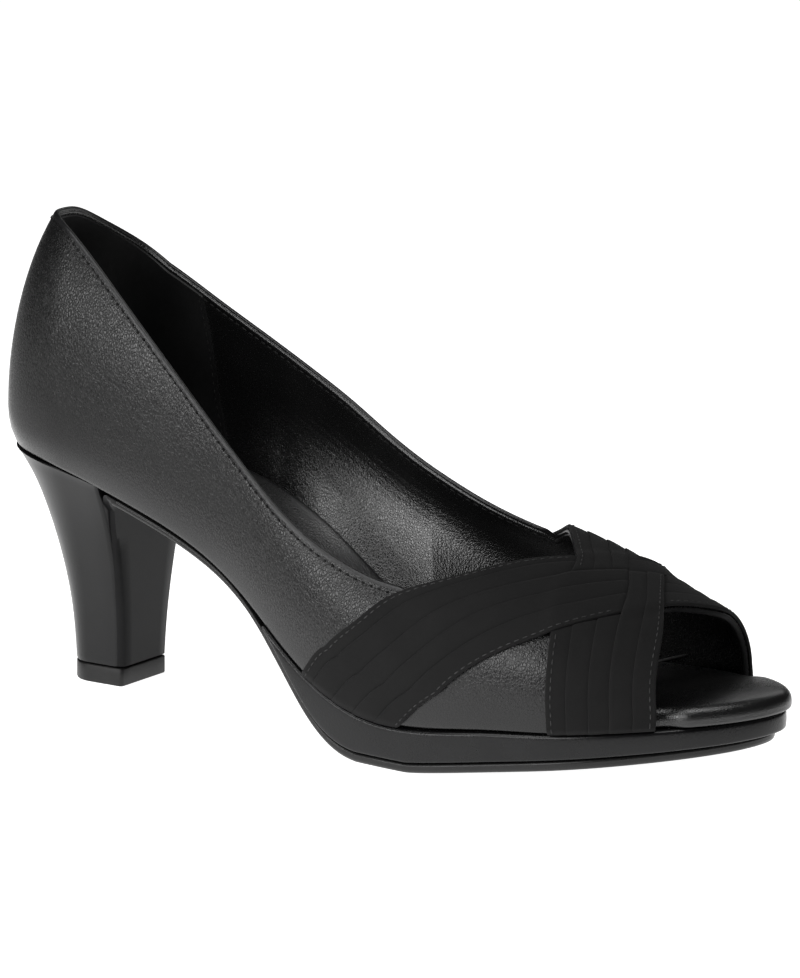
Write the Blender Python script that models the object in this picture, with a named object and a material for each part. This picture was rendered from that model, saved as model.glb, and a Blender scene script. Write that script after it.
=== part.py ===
"""Platform pump with an open toe and woven straps, right foot. Metres, +X to the toe, +Y to the inside, +Z up.

The last is one function of station and share across, worked out from length, ball width, instep and heel height.
Every piece is cut from that function, so neighbours stay one gap apart.
"""
import math

import bpy
import numpy as np

LENGTH = 0.2345
BALL_WIDTH = 0.0790
INSTEP_HEIGHT = 0.0800
SEAT_HEIGHT = 0.0647
WALL = 0.0018
STRAP = 0.0013
GAP = 0.0003
OUTSOLE = 0.0026
SHANK = 0.0020
FLAP = 0.0012
TOPLIFT = 0.0050
INSOLE_HEEL = 0.0030
INSOLE_TOE = 0.0058

HALF = BALL_WIDTH / 2
HEEL_CENTRE = 0.128 * LENGTH
HEEL_OFFSET = 0.0020
TOE_START = 0.780 * LENGTH
TOE_OFFSET = 0.10 * HALF
MID_X = LENGTH / 2 - 0.00006
MID_Y = -0.00075

# Station along the length, height of the feather line and of the ground side, both as shares of SEAT_HEIGHT.
PROFILE = {
    "station": (0.00, 0.11, 0.21, 0.32, 0.40, 0.45, 0.49, 0.54, 0.58, 0.62, 0.66, 0.72, 0.80, 0.90, 1.00),
    "feather": (1.000, 0.953, 0.860, 0.716, 0.545, 0.408, 0.311, 0.228, 0.192, 0.184, 0.193, 0.220, 0.245, 0.281, 0.316),
    "ground": (0.950, 0.904, 0.811, 0.667, 0.489, 0.305, 0.141, 0.019, -.004, -.004, 0.014, 0.049, 0.092, 0.143, 0.190),
}

# Cross sections. Widths are shares of half the ball width, heights are shares of INSTEP_HEIGHT above the feather line.
# rise and reach are the handle lengths of the curve from the widest point up to the ridge.
SECTION = {
    "station": (0.128, 0.240, 0.350, 0.450, 0.540, 0.620, 0.700, 0.780, 0.860, 1.000),
    "feather_outside": (0.560, 0.625, 0.680, 0.800, 0.900, 0.950, 0.955, 0.910, 0.850, 0.740),
    "feather_inside": (0.650, 0.570, 0.470, 0.470, 0.640, 0.840, 0.930, 0.920, 0.860, 0.740),
    "wide_outside": (0.660, 0.715, 0.740, 0.840, 0.930, 0.985, 1.000, 0.940, 0.850, 0.740),
    "wide_inside": (0.750, 0.660, 0.570, 0.580, 0.720, 0.890, 0.970, 0.945, 0.860, 0.740),
    "wide_height": (0.230, 0.230, 0.220, 0.200, 0.170, 0.140, 0.125, 0.110, 0.090, 0.070),
    "ridge_side": (0.051, 0.050, 0.050, 0.050, 0.030, 0.010, 0.000, 0.000, 0.000, 0.000),
    "ridge_height": (1.000, 1.000, 0.960, 0.860, 0.745, 0.640, 0.553, 0.460, 0.352, 0.220),
    "rise": (0.72, 0.70, 0.66, 0.62, 0.60, 0.62, 0.64, 0.64, 0.62, 0.60),
    "reach": (0.50, 0.50, 0.50, 0.50, 0.52, 0.56, 0.60, 0.60, 0.58, 0.56),
}
BACK = {"feather": 0.700, "wide_height": 0.090, "rise": 0.51, "reach": 0.38}
LOW_SHARE = 0.25

# Collar: share up the side, by station on each side and by angle round the heel (-90 is the outside).
COLLAR_OUTSIDE = {"station": (0.128, 0.200, 0.280, 0.360, 0.440, 0.520, 0.610),
                  "up": (0.600, 0.515, 0.435, 0.387, 0.400, 0.460, 0.528)}
COLLAR_INSIDE = {"station": (0.128, 0.200, 0.280, 0.360, 0.440, 0.520, 0.590, 0.655),
                 "up": (0.462, 0.436, 0.428, 0.455, 0.532, 0.632, 0.688, 0.668)}
COLLAR_BACK = {"angle": (-120.0, -90.0, -60.0, -30.0, 0.0, 30.0, 60.0, 90.0, 120.0),
               "up": (0.545, 0.600, 0.660, 0.700, 0.712, 0.662, 0.553, 0.462, 0.436)}

# Edges of each strap: station by share across, from -1 at the strap's own side of the foot to +1 at the other.
OUTER_EDGE = {
    "across": (-1.0, -0.88, -0.75, -0.64, -0.50, -0.40, -0.30, -0.20, -0.10, 0.0, 0.15, 0.42, 0.75, 1.0),
    "rear": (0.488, 0.504, 0.529, 0.565, 0.610, 0.657, 0.698, 0.727, 0.753, 0.772, 0.785, 0.796, 0.803, 0.804),
    "front": (0.624, 0.646, 0.682, 0.728, 0.783, 0.811, 0.835, 0.853, 0.865, 0.877, 0.894, 0.896, 0.899, 0.904),
}
INNER_EDGE = {
    "across": (-1.0, -0.88, -0.75, -0.64, -0.50, -0.36, -0.20, -0.05, 0.065, 0.25, 0.44, 0.60, 0.77, 1.0),
    "rear": (0.484, 0.500, 0.528, 0.563, 0.606, 0.655, 0.694, 0.731, 0.762, 0.780, 0.794, 0.802, 0.805, 0.806),
    "front": (0.621, 0.641, 0.680, 0.720, 0.757, 0.787, 0.817, 0.846, 0.867, 0.891, 0.903, 0.908, 0.911, 0.911),
}
# Share across where the two straps' edges meet, and where each strap is halved to pass over and under.
THROAT = -0.065
SPLIT = {-1: 0.33, 1: 0.60}
WAY = 0.008

# Margin of the sole pieces outside the feather line, in metres, by station; the last value is for the toe tip.
MARGIN = {
    "station": (0.00, 0.40, 0.60, 0.75, 0.85, 0.915, 0.94, 1.00),
    "insole": (-.0023, -.0023, -.0023, -.0025, -.0033, -.0046, -.0006, 0.0000),
    "platform": (0.0003, 0.0003, 0.0006, 0.0005, 0.0000, -.0007, -.0010, -.0013),
    "outsole": (-.0003, -.0003, 0.0000, 0.0000, -.0007, -.0018, -.0024, -.0042),
}

# Heel block: half width, back radius and breast station at heights from the toplift to the seat.
HEEL = {
    "height": (0.00, 0.25, 0.50, 0.75, 0.90, 1.00),
    "half_width": (0.0104, 0.0113, 0.0138, 0.0178, 0.0212, 0.0238),
    "back": (0.0084, 0.0098, 0.0128, 0.0176, 0.0218, 0.0262),
    "breast": (0.0374, 0.0379, 0.0385, 0.0391, 0.0395, 0.0398),
}
# Raise of the insole's inside edge under the arch.
ARCH = {"station": (0.12, 0.22, 0.34, 0.44, 0.52, 0.62), "raise": (0.0, 0.0025, 0.0065, 0.0070, 0.0040, 0.0)}
HEEL_MIDDLE = 0.0275
HEEL_AXIS = 0.0026


def spline(xs, ys):
    """Natural cubic spline through a short table, held flat past its ends."""
    xs, ys = np.asarray(xs, float), np.asarray(ys, float)
    count = len(xs)
    step = np.diff(xs)
    matrix = np.zeros((count, count))
    right = np.zeros(count)
    matrix[0, 0] = matrix[-1, -1] = 1.0
    for i in range(1, count - 1):
        matrix[i, i - 1], matrix[i, i], matrix[i, i + 1] = step[i - 1], 2 * (step[i - 1] + step[i]), step[i]
        right[i] = 6 * ((ys[i + 1] - ys[i]) / step[i] - (ys[i] - ys[i - 1]) / step[i - 1])
    bend = np.linalg.solve(matrix, right)

    def value(x):
        x = np.clip(np.asarray(x, float), xs[0], xs[-1])
        i = np.clip(np.searchsorted(xs, x) - 1, 0, count - 2)
        before, after, width = x - xs[i], xs[i + 1] - x, step[i]
        curve = (bend[i] * after ** 3 + bend[i + 1] * before ** 3) / (6 * width)
        start = (ys[i] / width - bend[i] * width / 6) * after
        end = (ys[i + 1] / width - bend[i + 1] * width / 6) * before
        return curve + start + end
    return value


def curves(table, key):
    """One spline for each named column of a table."""
    return {name: spline(table[key], column) for name, column in table.items() if name != key}


PROFILE_AT = curves(PROFILE, "station")
SECTION_AT = curves(SECTION, "station")
OUTSIDE_AT = curves(COLLAR_OUTSIDE, "station")
INSIDE_AT = curves(COLLAR_INSIDE, "station")
BACK_AT = curves(COLLAR_BACK, "angle")
OUTER_AT = curves(OUTER_EDGE, "across")
INNER_AT = curves(INNER_EDGE, "across")
HEEL_AT = curves(HEEL, "height")
ARCH_AT = curves(ARCH, "station")


def feather(x):
    """Height of the line where the upper meets the sole."""
    return SEAT_HEIGHT * PROFILE_AT["feather"](x / LENGTH)


def ground(x):
    """Underside of the outsole, flat on the floor under the ball."""
    return np.maximum(SEAT_HEIGHT * PROFILE_AT["ground"](x / LENGTH), 0.0)


def margin(name, x):
    """Sole margin at a station."""
    return np.interp(x / LENGTH, MARGIN["station"], MARGIN[name])


def outline(x, side, name=None):
    """Plan outline of the sole at x; side is -1 for the outside, +1 for the inside."""
    x = np.asarray(x, float)
    extra = margin(name, x) if name else np.zeros_like(x)
    tip = MARGIN[name][-1] if name else 0.0
    column = SECTION_AT["feather_outside"] if side < 0 else SECTION_AT["feather_inside"]
    straight = column(x / LENGTH) * HALF + extra
    round_toe = np.sqrt(np.clip(1 - (np.clip(x - TOE_START, 0, None) / (LENGTH + tip - TOE_START)) ** 2, 0, 1))
    front = TOE_OFFSET + (side * straight - TOE_OFFSET) * round_toe
    start = MARGIN[name][0] if name else 0.0
    radius = column(HEEL_CENTRE / LENGTH) * HALF - side * HEEL_OFFSET + start
    depth = BACK["feather"] * HALF + start
    round_heel = np.sqrt(np.clip(1 - (np.clip(HEEL_CENTRE - x, 0, None) / depth) ** 2, 0, 1))
    rear = HEEL_OFFSET + side * radius * round_heel
    return np.where(x < HEEL_CENTRE, rear, front)


def bezier(a, b, c, d, t):
    """Cubic curve through four handles."""
    return a * (1 - t) ** 3 + 3 * b * (1 - t) ** 2 * t + 3 * c * (1 - t) * t ** 2 + d * t ** 3


def half_section(foot, wide, wide_height, top, rise, reach, ridge, up):
    """Side of the last: out from the feather to the widest point, then over to the ridge."""
    low = np.clip(up / LOW_SHARE, 0, 1)
    high = np.clip((up - LOW_SHARE) / (1 - LOW_SHARE), 0, 1)
    y_low = bezier(foot, foot + 0.62 * (wide - foot), wide, wide, low)
    z_low = bezier(0.0, 0.22 * wide_height, 0.62 * wide_height, wide_height, low)
    y_high = bezier(wide, wide, ridge + reach * (wide - ridge), ridge, high)
    z_high = bezier(wide_height, wide_height + rise * (top - wide_height), top, top, high)
    return np.where(up < LOW_SHARE, y_low, y_high), np.where(up < LOW_SHARE, z_low, z_high)


def last_side(x, across):
    """Point of the last from the heel's centre forward; across runs -1 outside feather to +1 inside feather."""
    s, side = x / LENGTH, np.where(across < 0, -1.0, 1.0)
    outside = across < 0
    foot = np.where(outside, SECTION_AT["feather_outside"](s), SECTION_AT["feather_inside"](s)) * HALF
    wide = np.where(outside, SECTION_AT["wide_outside"](s), SECTION_AT["wide_inside"](s)) * HALF
    toe = np.sqrt(np.clip(1 - (np.clip(x - TOE_START, 0, None) / (LENGTH - TOE_START)) ** 2, 0, 1))
    shift = TOE_OFFSET * side
    foot, wide = shift + (foot - shift) * toe, shift + (wide - shift) * toe
    ridge = SECTION_AT["ridge_side"](s) * HALF * side
    low, top = SECTION_AT["wide_height"](s) * INSTEP_HEIGHT, SECTION_AT["ridge_height"](s) * INSTEP_HEIGHT
    y, z = half_section(foot, wide, low, top, SECTION_AT["rise"](s), SECTION_AT["reach"](s), ridge, 1 - np.abs(across))
    return np.stack([x, side * y, feather(x) + z], -1)


def last_heel(angle, up):
    """Point of the last round the heel; angle runs -90 outside, 0 back, 90 inside, in radians."""
    c, s = np.cos(angle), np.sin(angle)
    outside, station = s < 0, HEEL_CENTRE / LENGTH
    side = {}
    for part in ("feather", "wide"):
        width = np.where(outside, SECTION_AT[part + "_outside"](station), SECTION_AT[part + "_inside"](station))
        side[part] = width * HALF + np.where(outside, HEEL_OFFSET, -HEEL_OFFSET)
    foot = 1 / np.sqrt((s / side["feather"]) ** 2 + (c / (BACK["feather"] * HALF)) ** 2)
    wide = 1 / np.sqrt((s / side["wide"]) ** 2 + (c / HEEL_CENTRE) ** 2)
    mixed = {}
    for part in ("wide_height", "rise", "reach"):
        mixed[part] = SECTION_AT[part](station) * s * s + BACK[part] * c * c
    base = feather(HEEL_CENTRE - foot * c)
    top = SECTION_AT["ridge_height"](station) * INSTEP_HEIGHT - (base - feather(HEEL_CENTRE))
    r, z = half_section(foot, wide, mixed["wide_height"] * INSTEP_HEIGHT, top, mixed["rise"], mixed["reach"], 0.0, up)
    return np.stack([HEEL_CENTRE - r * c, HEEL_OFFSET + r * s, base + z], -1)


def lifted(surface, a, b, lift):
    """Points of a surface moved along its outward normal."""
    a, b = np.asarray(a, float), np.asarray(b, float)
    step = 1e-5
    along = surface(a + step, b) - surface(a - step, b)
    across = surface(a, b + step) - surface(a, b - step)
    normal = np.cross(along, across)
    normal /= np.linalg.norm(normal, axis=-1)[..., None]
    flip = -1.0 if surface is last_side else 1.0
    return surface(a, b) + flip * -normal * lift


def add_mesh(name, points, faces):
    """Mesh object, placed so the origin is under the middle of the shoe."""
    mesh = bpy.data.meshes.new(name)
    moved = np.asarray(points, float) - np.array([MID_X, MID_Y, 0.0])
    mesh.from_pydata([tuple(p) for p in moved], [], [tuple(f) for f in faces])
    mesh.validate()
    mesh.update()
    thing = bpy.data.objects.new(name, mesh)
    bpy.context.collection.objects.link(thing)
    return thing


def sheet_body(name, outer, inner, closed):
    """Closed body between two grids of points; closed joins the last column to the first."""
    columns, rows = outer.shape[:2]
    points = np.vstack([outer.reshape(-1, 3), inner.reshape(-1, 3)])
    offset = columns * rows
    faces = []
    last = columns if closed else columns - 1
    for i in range(last):
        j = (i + 1) % columns
        for k in range(rows - 1):
            a, b, c, d = i * rows + k, j * rows + k, j * rows + k + 1, i * rows + k + 1
            faces.append((a, b, c, d))
            faces.append((a + offset, d + offset, c + offset, b + offset))
        top, foot = (i * rows, j * rows), (i * rows + rows - 1, j * rows + rows - 1)
        faces.append((top[1], top[0], top[0] + offset, top[1] + offset))
        faces.append((foot[0], foot[1], foot[1] + offset, foot[0] + offset))
    if not closed:
        for k in range(rows - 1):
            a, b = k, k + 1
            faces.append((a, b, b + offset, a + offset))
            a, b = (columns - 1) * rows + k, (columns - 1) * rows + k + 1
            faces.append((b, a, a + offset, b + offset))
    return add_mesh(name, points, faces)


def loft(name, rings):
    """Closed body through rings of equal count, each ring's first half facing its second half across the cap."""
    count = len(rings[0])
    points = [p for ring in rings for p in ring]
    faces = []
    for i in range(len(rings) - 1):
        for k in range(count):
            n = (k + 1) % count
            faces.append((i * count + k, i * count + n, (i + 1) * count + n, (i + 1) * count + k))
    end = (len(rings) - 1) * count
    for k in range(count // 2 - 1):
        a, b = k, count - 1 - k
        faces.append((a, b, b - 1, a + 1))
        faces.append((end + a, end + a + 1, end + b - 1, end + b))
    return add_mesh(name, points, faces)


def outward(thing):
    """Turn the faces of a closed body to face out."""
    import bmesh
    work = bmesh.new()
    work.from_mesh(thing.data)
    bmesh.ops.recalc_face_normals(work, faces=work.faces)
    work.to_mesh(thing.data)
    work.free()


def stations(start, end, name, middle=26, round_count=10):
    """Stations along the sole, close together where the outline turns at heel and toe."""
    found = []
    depth = BACK["feather"] * HALF + MARGIN[name][0]
    if start < HEEL_CENTRE:
        found += [HEEL_CENTRE - depth * math.cos(a) for a in np.radians(np.linspace(6, 82, round_count))]
        start = HEEL_CENTRE
    found += list(np.linspace(start, TOE_START, middle))
    reach = end + MARGIN[name][-1] - TOE_START
    found += [TOE_START + reach * math.sin(a) for a in np.radians(np.linspace(8, 86, round_count + 2))]
    return found


def bar_ring(x, left, right, low, high, round_low, round_high):
    """Cross section of a sole piece, corners turned with two points each, outside half then inside half."""
    width = right - left
    low_r = min(round_low, (high - low) * 0.48, width * 0.2)
    high_r = min(round_high, (high - low) * 0.48, width * 0.2)
    half = []
    middle = (left + right) / 2
    for share in (0.0, 0.5):
        half.append((middle + (left + low_r - middle) * share * 2 * 0.5, low))
    for a in (0, 45, 90):
        a = math.radians(a)
        half.append((left + low_r - low_r * math.sin(a), low + low_r - low_r * math.cos(a)))
    for a in (0, 45, 90):
        a = math.radians(a)
        half.append((left + high_r - high_r * math.cos(a), high - high_r + high_r * math.sin(a)))
    ring = [(x, y, z) for y, z in half[1:]] + [(x, middle + (left + high_r - middle) * 0.5, high)]
    mirror = [(x, left + right - y, z) for x, y, z in reversed(ring)]
    return ring + mirror


def build_upper():
    """One shell of leather and lining, open at the collar, at the toe and underneath."""
    rows = 10
    outer, inner = [], []

    def column(surface, first, second):
        t = np.linspace(0, 1, rows)
        a = first[0] + (second[0] - first[0]) * t
        b = first[1] + (second[1] - first[1]) * t
        outer.append(surface(a, b))
        wall = lifted(surface, a, b, -WALL)
        wall[-1, 2] = max(wall[-1, 2], outer[-1][-1, 2])
        inner.append(wall)

    def heel_column(angle):
        up = float(BACK_AT["up"](math.degrees(angle)))
        column(last_heel, (angle, up), (angle, 0.0))

    def side_column(s, table, sign):
        up = float(table["up"](s))
        column(last_side, (s * LENGTH, sign * (1 - up)), (s * LENGTH, sign))

    for angle in np.radians(np.linspace(0, -82, 11)):
        heel_column(angle)
    for s in np.linspace(0.128, 0.622, 17)[:-1]:
        side_column(s, OUTSIDE_AT, -1.0)
    collar_end = {-1: (0.622, -0.473), 1: (0.655, 0.36)}
    half_columns = {}
    for sign in (-1, 1):
        start = collar_end[sign]
        rim = [(throat_edge(v) * LENGTH, v) for v in np.linspace(start[1], THROAT, 19)]
        path = [(s * LENGTH, float(sign)) for s in np.linspace(start[0], toe_edge(sign), 10)[:-1]]
        path += [(toe_edge(v) * LENGTH, v) for v in np.linspace(sign, THROAT, 10)]
        half_columns[sign] = list(zip(rim, path))
    for rim, path in half_columns[-1]:
        column(last_side, rim, path)
    for rim, path in reversed(half_columns[1][:-1]):
        column(last_side, rim, path)
    for s in np.linspace(0.128, 0.655, 18)[:-1][::-1]:
        side_column(s, INSIDE_AT, 1.0)
    for angle in np.radians(np.linspace(0, 82, 11))[1:][::-1]:
        heel_column(angle)
    return sheet_body("upper", np.array(outer), np.array(inner), True)


def strap_station(across, share, sign):
    """Station on a strap; share runs from its rear edge to its front edge, sign -1 for the outside strap."""
    edge = OUTER_AT if sign < 0 else INNER_AT
    place = -sign * across
    rear, front = edge["rear"](place), edge["front"](place)
    return rear + (front - rear) * share


def throat_edge(across):
    """Station of the rim at the throat, where the strap that reaches further back has its rear edge."""
    return min(float(strap_station(across, 0.0, sign)) for sign in (-1, 1))


def toe_edge(across):
    """Station of the toe opening, where the strap that reaches further forward has its front edge."""
    return max(float(strap_station(across, 1.0, sign)) for sign in (-1, 1))


def crossing(share, sign, other_share):
    """Share across where a line of one strap meets a line of the other."""
    low, high = -1.0, 1.0
    for _ in range(48):
        middle = (low + high) / 2
        gap = strap_station(middle, share, sign) - strap_station(middle, other_share, -sign)
        if gap * -sign < 0:
            low = middle
        else:
            high = middle
    return (low + high) / 2


def build_strap(name, sign, shares, ends, rows=7, columns=20):
    """One visible run of a strap; ends are a feather side or the other strap's line where it stops."""
    outer, inner = [], []
    for share in np.linspace(shares[0] + WAY * (shares[0] > 0), shares[1] - WAY * (shares[1] < 1), rows):
        limits = []
        for end in ends:
            if end[0] == "foot":
                limits.append(end[1] * 0.985)
            else:
                limits.append(crossing(share, sign, end[1]))
        across = np.linspace(limits[0], limits[1], columns)
        x = strap_station(across, share, sign) * LENGTH
        outer.append(lifted(last_side, x, across, GAP + STRAP))
        inner.append(lifted(last_side, x, across, GAP))
    return sheet_body(name, np.array(outer), np.array(inner), False)


def build_straps():
    """Both straps; each half stops at the edge of the half that covers it."""
    things = []
    for sign, side in ((-1, "outer"), (1, "inner")):
        near, far = ("foot", sign), ("foot", -sign)
        own, other = SPLIT[sign], SPLIT[-sign]
        # Where a half stops and starts again, under the other strap's rear half or under its front half.
        under_rear = (("line", -WAY), ("line", other + WAY))
        under_front = (("line", other - WAY), ("line", 1.0 + WAY))
        rear, front = (under_rear, under_front) if sign < 0 else (under_front, under_rear)
        things.append(build_strap(side + "_strap_rear_start", sign, (0.0, own), (near, rear[0])))
        things.append(build_strap(side + "_strap_rear_end", sign, (0.0, own), (rear[1], far)))
        things.append(build_strap(side + "_strap_front_start", sign, (own, 1.0), (near, front[0])))
        things.append(build_strap(side + "_strap_front_end", sign, (own, 1.0), (front[1], far)))
    return things


def build_insole():
    """Board and sock the foot stands on, thicker and rolled at the open toe."""
    rings = []
    for x in stations(0.0, LENGTH, "insole"):
        s = x / LENGTH
        thick = np.interp(s, (0.0, 0.60, 0.88, 1.0), (INSOLE_HEEL, INSOLE_HEEL, INSOLE_TOE, INSOLE_TOE))
        turn = np.interp(s, (0.0, 0.88, 0.94, 1.0), (0.0004, 0.0004, 0.0026, 0.0026))
        base = float(feather(x))
        left, right = float(outline(x, -1, "insole")), float(outline(x, 1, "insole"))
        arch = float(ARCH_AT["raise"](s)) if ARCH["station"][0] < s < ARCH["station"][-1] else 0.0
        ring = bar_ring(x, left, right, base, base + thick, turn * 0.6, turn)
        middle = (left + right) / 2
        for i, (px, py, pz) in enumerate(ring):
            if pz > base + thick / 2 and py > middle:
                ring[i] = (px, py, pz + arch * ((py - middle) / (right - middle)) ** 2)
        rings.append(ring)
    return loft("insole", rings)


def build_platform():
    """Wrapped slab under the ball, gone before the heel."""
    rings = []
    for x in stations(0.425 * LENGTH, LENGTH, "platform"):
        top = float(feather(x)) - GAP
        low = float(ground(x)) + OUTSOLE + GAP
        left, right = float(outline(x, -1, "platform")), float(outline(x, 1, "platform"))
        rings.append(bar_ring(x, left, right, low, top, 0.0006, 0.0016))
    return loft("platform", rings)


def breast(z):
    """Front face of the heel block."""
    return float(HEEL_AT["breast"](z / SEAT_HEIGHT))


def build_outsole():
    """One plate from the toe to the heel, turned down its breast as a flap."""
    rings = []

    def ring(inner, outer, left, right):
        middle = (left + right) / 2
        lower = [(outer[0], middle, outer[1]), (outer[0], left, outer[1])]
        upper = [(inner[0], left, inner[1]), (inner[0], middle, inner[1])]
        rings.append(lower + upper + [(inner[0], right, inner[1]), (outer[0], right, outer[1])])

    for z in np.linspace(TOPLIFT + 0.0006, 0.044, 9):
        width = float(HEEL_AT["half_width"](z / SEAT_HEIGHT)) - 0.0004
        x = breast(z) + GAP
        ring((x, z), (x + FLAP, z), HEEL_AXIS - width, HEEL_AXIS + width)
    turn = 0.0045
    corner = breast(0.05) + GAP + FLAP + turn
    height = float(feather(corner + 0.001)) - GAP - SHANK - turn
    for angle in np.radians(np.linspace(180, 90, 7)):
        thick = FLAP + (SHANK - FLAP) * (math.pi - angle) / (math.pi / 2)
        c, s = math.cos(angle), math.sin(angle)
        share = (math.pi - angle) / (math.pi / 2)
        width = float(HEEL_AT["half_width"](0.048 / SEAT_HEIGHT)) - 0.0004
        left = (HEEL_AXIS - width) * (1 - share) + float(outline(corner, -1, "outsole")) * share
        right = (HEEL_AXIS + width) * (1 - share) + float(outline(corner, 1, "outsole")) * share
        inner = (corner + (turn + thick) * c, height + (turn + thick) * s)
        ring(inner, (corner + turn * c, height + turn * s), left, right)
    for x in stations(corner + 0.002, LENGTH, "outsole", 34):
        low = float(ground(x))
        s = x / LENGTH
        thick = np.interp(s, (0.20, 0.40, 0.44), (SHANK, SHANK, OUTSOLE))
        top = min(low + OUTSOLE, float(feather(x)) - GAP)
        ring((x, top), (x, top - thick), float(outline(x, -1, "outsole")), float(outline(x, 1, "outsole")))
    return loft("outsole", rings)


def heel_ring(z_share, level):
    """D-shaped ring of the heel: flat breast, round back, outside half then inside half."""
    half_width = float(HEEL_AT["half_width"](z_share))
    back = float(HEEL_AT["back"](z_share))
    front = float(HEEL_AT["breast"](z_share))
    half = [(front, 0.45 * half_width), (front, 0.86 * half_width), (front - 0.0012, half_width)]
    half += [(front - 0.0055, half_width), (HEEL_MIDDLE, half_width)]
    for a in np.radians(np.linspace(15, 84, 7)):
        half.append((HEEL_MIDDLE - back * math.sin(a), half_width * math.cos(a)))
    ring = [(x, HEEL_AXIS - y) for x, y in half] + [(x, HEEL_AXIS + y) for x, y in reversed(half)]
    return [(x, y, level(x)) for x, y in ring]


def build_heel():
    """Flared block, its top following the seat."""
    rings = []
    for share in np.linspace(0, 1, 15):
        def level(x, share=share):
            top = float(feather(x)) - GAP
            return TOPLIFT + GAP + (top - TOPLIFT - GAP) * share
        rings.append(heel_ring(share, level))
    return loft("heel", rings)


def build_toplift():
    """Wear plate under the heel, flat on the floor."""
    return loft("toplift", [heel_ring(0.0, lambda x: 0.0), heel_ring(0.0, lambda x: TOPLIFT)])


def main():
    """Clear the scene and build every piece."""
    for thing in list(bpy.data.objects):
        bpy.data.objects.remove(thing, do_unlink=True)
    things = [build_toplift(), build_heel(), build_outsole(), build_platform(), build_insole(), build_upper()]
    things += build_straps()
    for thing in things:
        outward(thing)
    corners = np.array([v.co for thing in things for v in thing.data.vertices])
    print("low corner", corners.min(0).round(5), "high corner", corners.max(0).round(5))


main()
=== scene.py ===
"""Dressed platform pump with an open toe and woven pleated straps, right foot.

Metres, +X to the toe, +Y to the inside of the foot, +Z up. Every visible piece is cut from one last, the
same one that the solids are cut from, so each piece lies where its solid is.
"""
from __future__ import annotations

import logging
import math
from dataclasses import dataclass, field
from enum import Enum
from typing import Callable, Iterable, Sequence

import bmesh
import bpy
import numpy as np
from mathutils import Matrix, Vector

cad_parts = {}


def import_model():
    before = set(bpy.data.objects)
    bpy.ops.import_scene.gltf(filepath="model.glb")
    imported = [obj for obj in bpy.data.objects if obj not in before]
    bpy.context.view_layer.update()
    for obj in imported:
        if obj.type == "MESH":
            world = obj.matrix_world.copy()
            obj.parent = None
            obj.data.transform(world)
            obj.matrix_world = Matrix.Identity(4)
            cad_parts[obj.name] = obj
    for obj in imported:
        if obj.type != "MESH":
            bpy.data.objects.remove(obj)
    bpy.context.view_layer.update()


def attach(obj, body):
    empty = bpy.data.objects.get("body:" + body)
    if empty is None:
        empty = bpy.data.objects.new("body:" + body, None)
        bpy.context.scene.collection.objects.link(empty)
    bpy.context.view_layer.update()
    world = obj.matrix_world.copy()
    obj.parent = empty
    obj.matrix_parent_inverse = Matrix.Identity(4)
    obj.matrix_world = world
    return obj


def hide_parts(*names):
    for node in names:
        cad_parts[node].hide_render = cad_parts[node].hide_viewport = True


log = logging.getLogger("pump")
MM = 0.001
BODY = "root"
# Points nearer to each other than this, in metres, become one.
MERGE = 2e-6

# Station along the length, then the heights of the feather line, where the upper meets the sole, and of the
# ground side, both as shares of the heel seat.
PROFILE = {
    "station": (0.00, 0.11, 0.21, 0.32, 0.40, 0.45, 0.49, 0.54,
                0.58, 0.62, 0.66, 0.72, 0.80, 0.90, 1.00),
    "feather": (1.000, 0.953, 0.860, 0.716, 0.545, 0.408, 0.311, 0.228,
                0.192, 0.184, 0.193, 0.220, 0.245, 0.281, 0.316),
    "ground": (0.950, 0.904, 0.811, 0.667, 0.489, 0.305, 0.141, 0.019,
               -.004, -.004, 0.014, 0.049, 0.092, 0.143, 0.190),
}

# Cross sections by station. Widths are shares of half the ball width, and heights are shares of the instep,
# measured from the feather.
SECTION = {
    "station": (0.128, 0.240, 0.350, 0.450, 0.540, 0.620, 0.700, 0.780, 0.860, 1.000),
    "feather_outside": (0.560, 0.625, 0.680, 0.800, 0.900, 0.950, 0.955, 0.910, 0.850, 0.740),
    "feather_inside": (0.650, 0.570, 0.470, 0.470, 0.640, 0.840, 0.930, 0.920, 0.860, 0.740),
    "wide_outside": (0.660, 0.715, 0.740, 0.840, 0.930, 0.985, 1.000, 0.940, 0.850, 0.740),
    "wide_inside": (0.750, 0.660, 0.570, 0.580, 0.720, 0.890, 0.970, 0.945, 0.860, 0.740),
    "wide_height": (0.230, 0.230, 0.220, 0.200, 0.170, 0.140, 0.125, 0.110, 0.090, 0.070),
    "ridge_side": (0.051, 0.050, 0.050, 0.050, 0.030, 0.010, 0.000, 0.000, 0.000, 0.000),
    "ridge_height": (1.000, 1.000, 0.960, 0.860, 0.745, 0.640, 0.553, 0.460, 0.352, 0.220),
    "rise": (0.72, 0.70, 0.66, 0.62, 0.60, 0.62, 0.64, 0.64, 0.62, 0.60),
    "reach": (0.50, 0.50, 0.50, 0.50, 0.52, 0.56, 0.60, 0.60, 0.58, 0.56),
}
BACK = {"feather": 0.700, "wide_height": 0.090, "rise": 0.51, "reach": 0.38}

# Collar: share up the side, by station on each side and by angle round the heel, -90 on the outside.
COLLAR_OUTSIDE = {"station": (0.128, 0.200, 0.280, 0.360, 0.440, 0.520, 0.610),
                  "up": (0.600, 0.515, 0.435, 0.387, 0.400, 0.460, 0.528)}
COLLAR_INSIDE = {"station": (0.128, 0.200, 0.280, 0.360, 0.440, 0.520, 0.590, 0.655),
                 "up": (0.462, 0.436, 0.428, 0.455, 0.532, 0.632, 0.688, 0.668)}
COLLAR_BACK = {"angle": (-120.0, -90.0, -60.0, -30.0, 0.0, 30.0, 60.0, 90.0, 120.0),
               "up": (0.545, 0.600, 0.660, 0.700, 0.712, 0.662, 0.553, 0.462, 0.436)}

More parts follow.
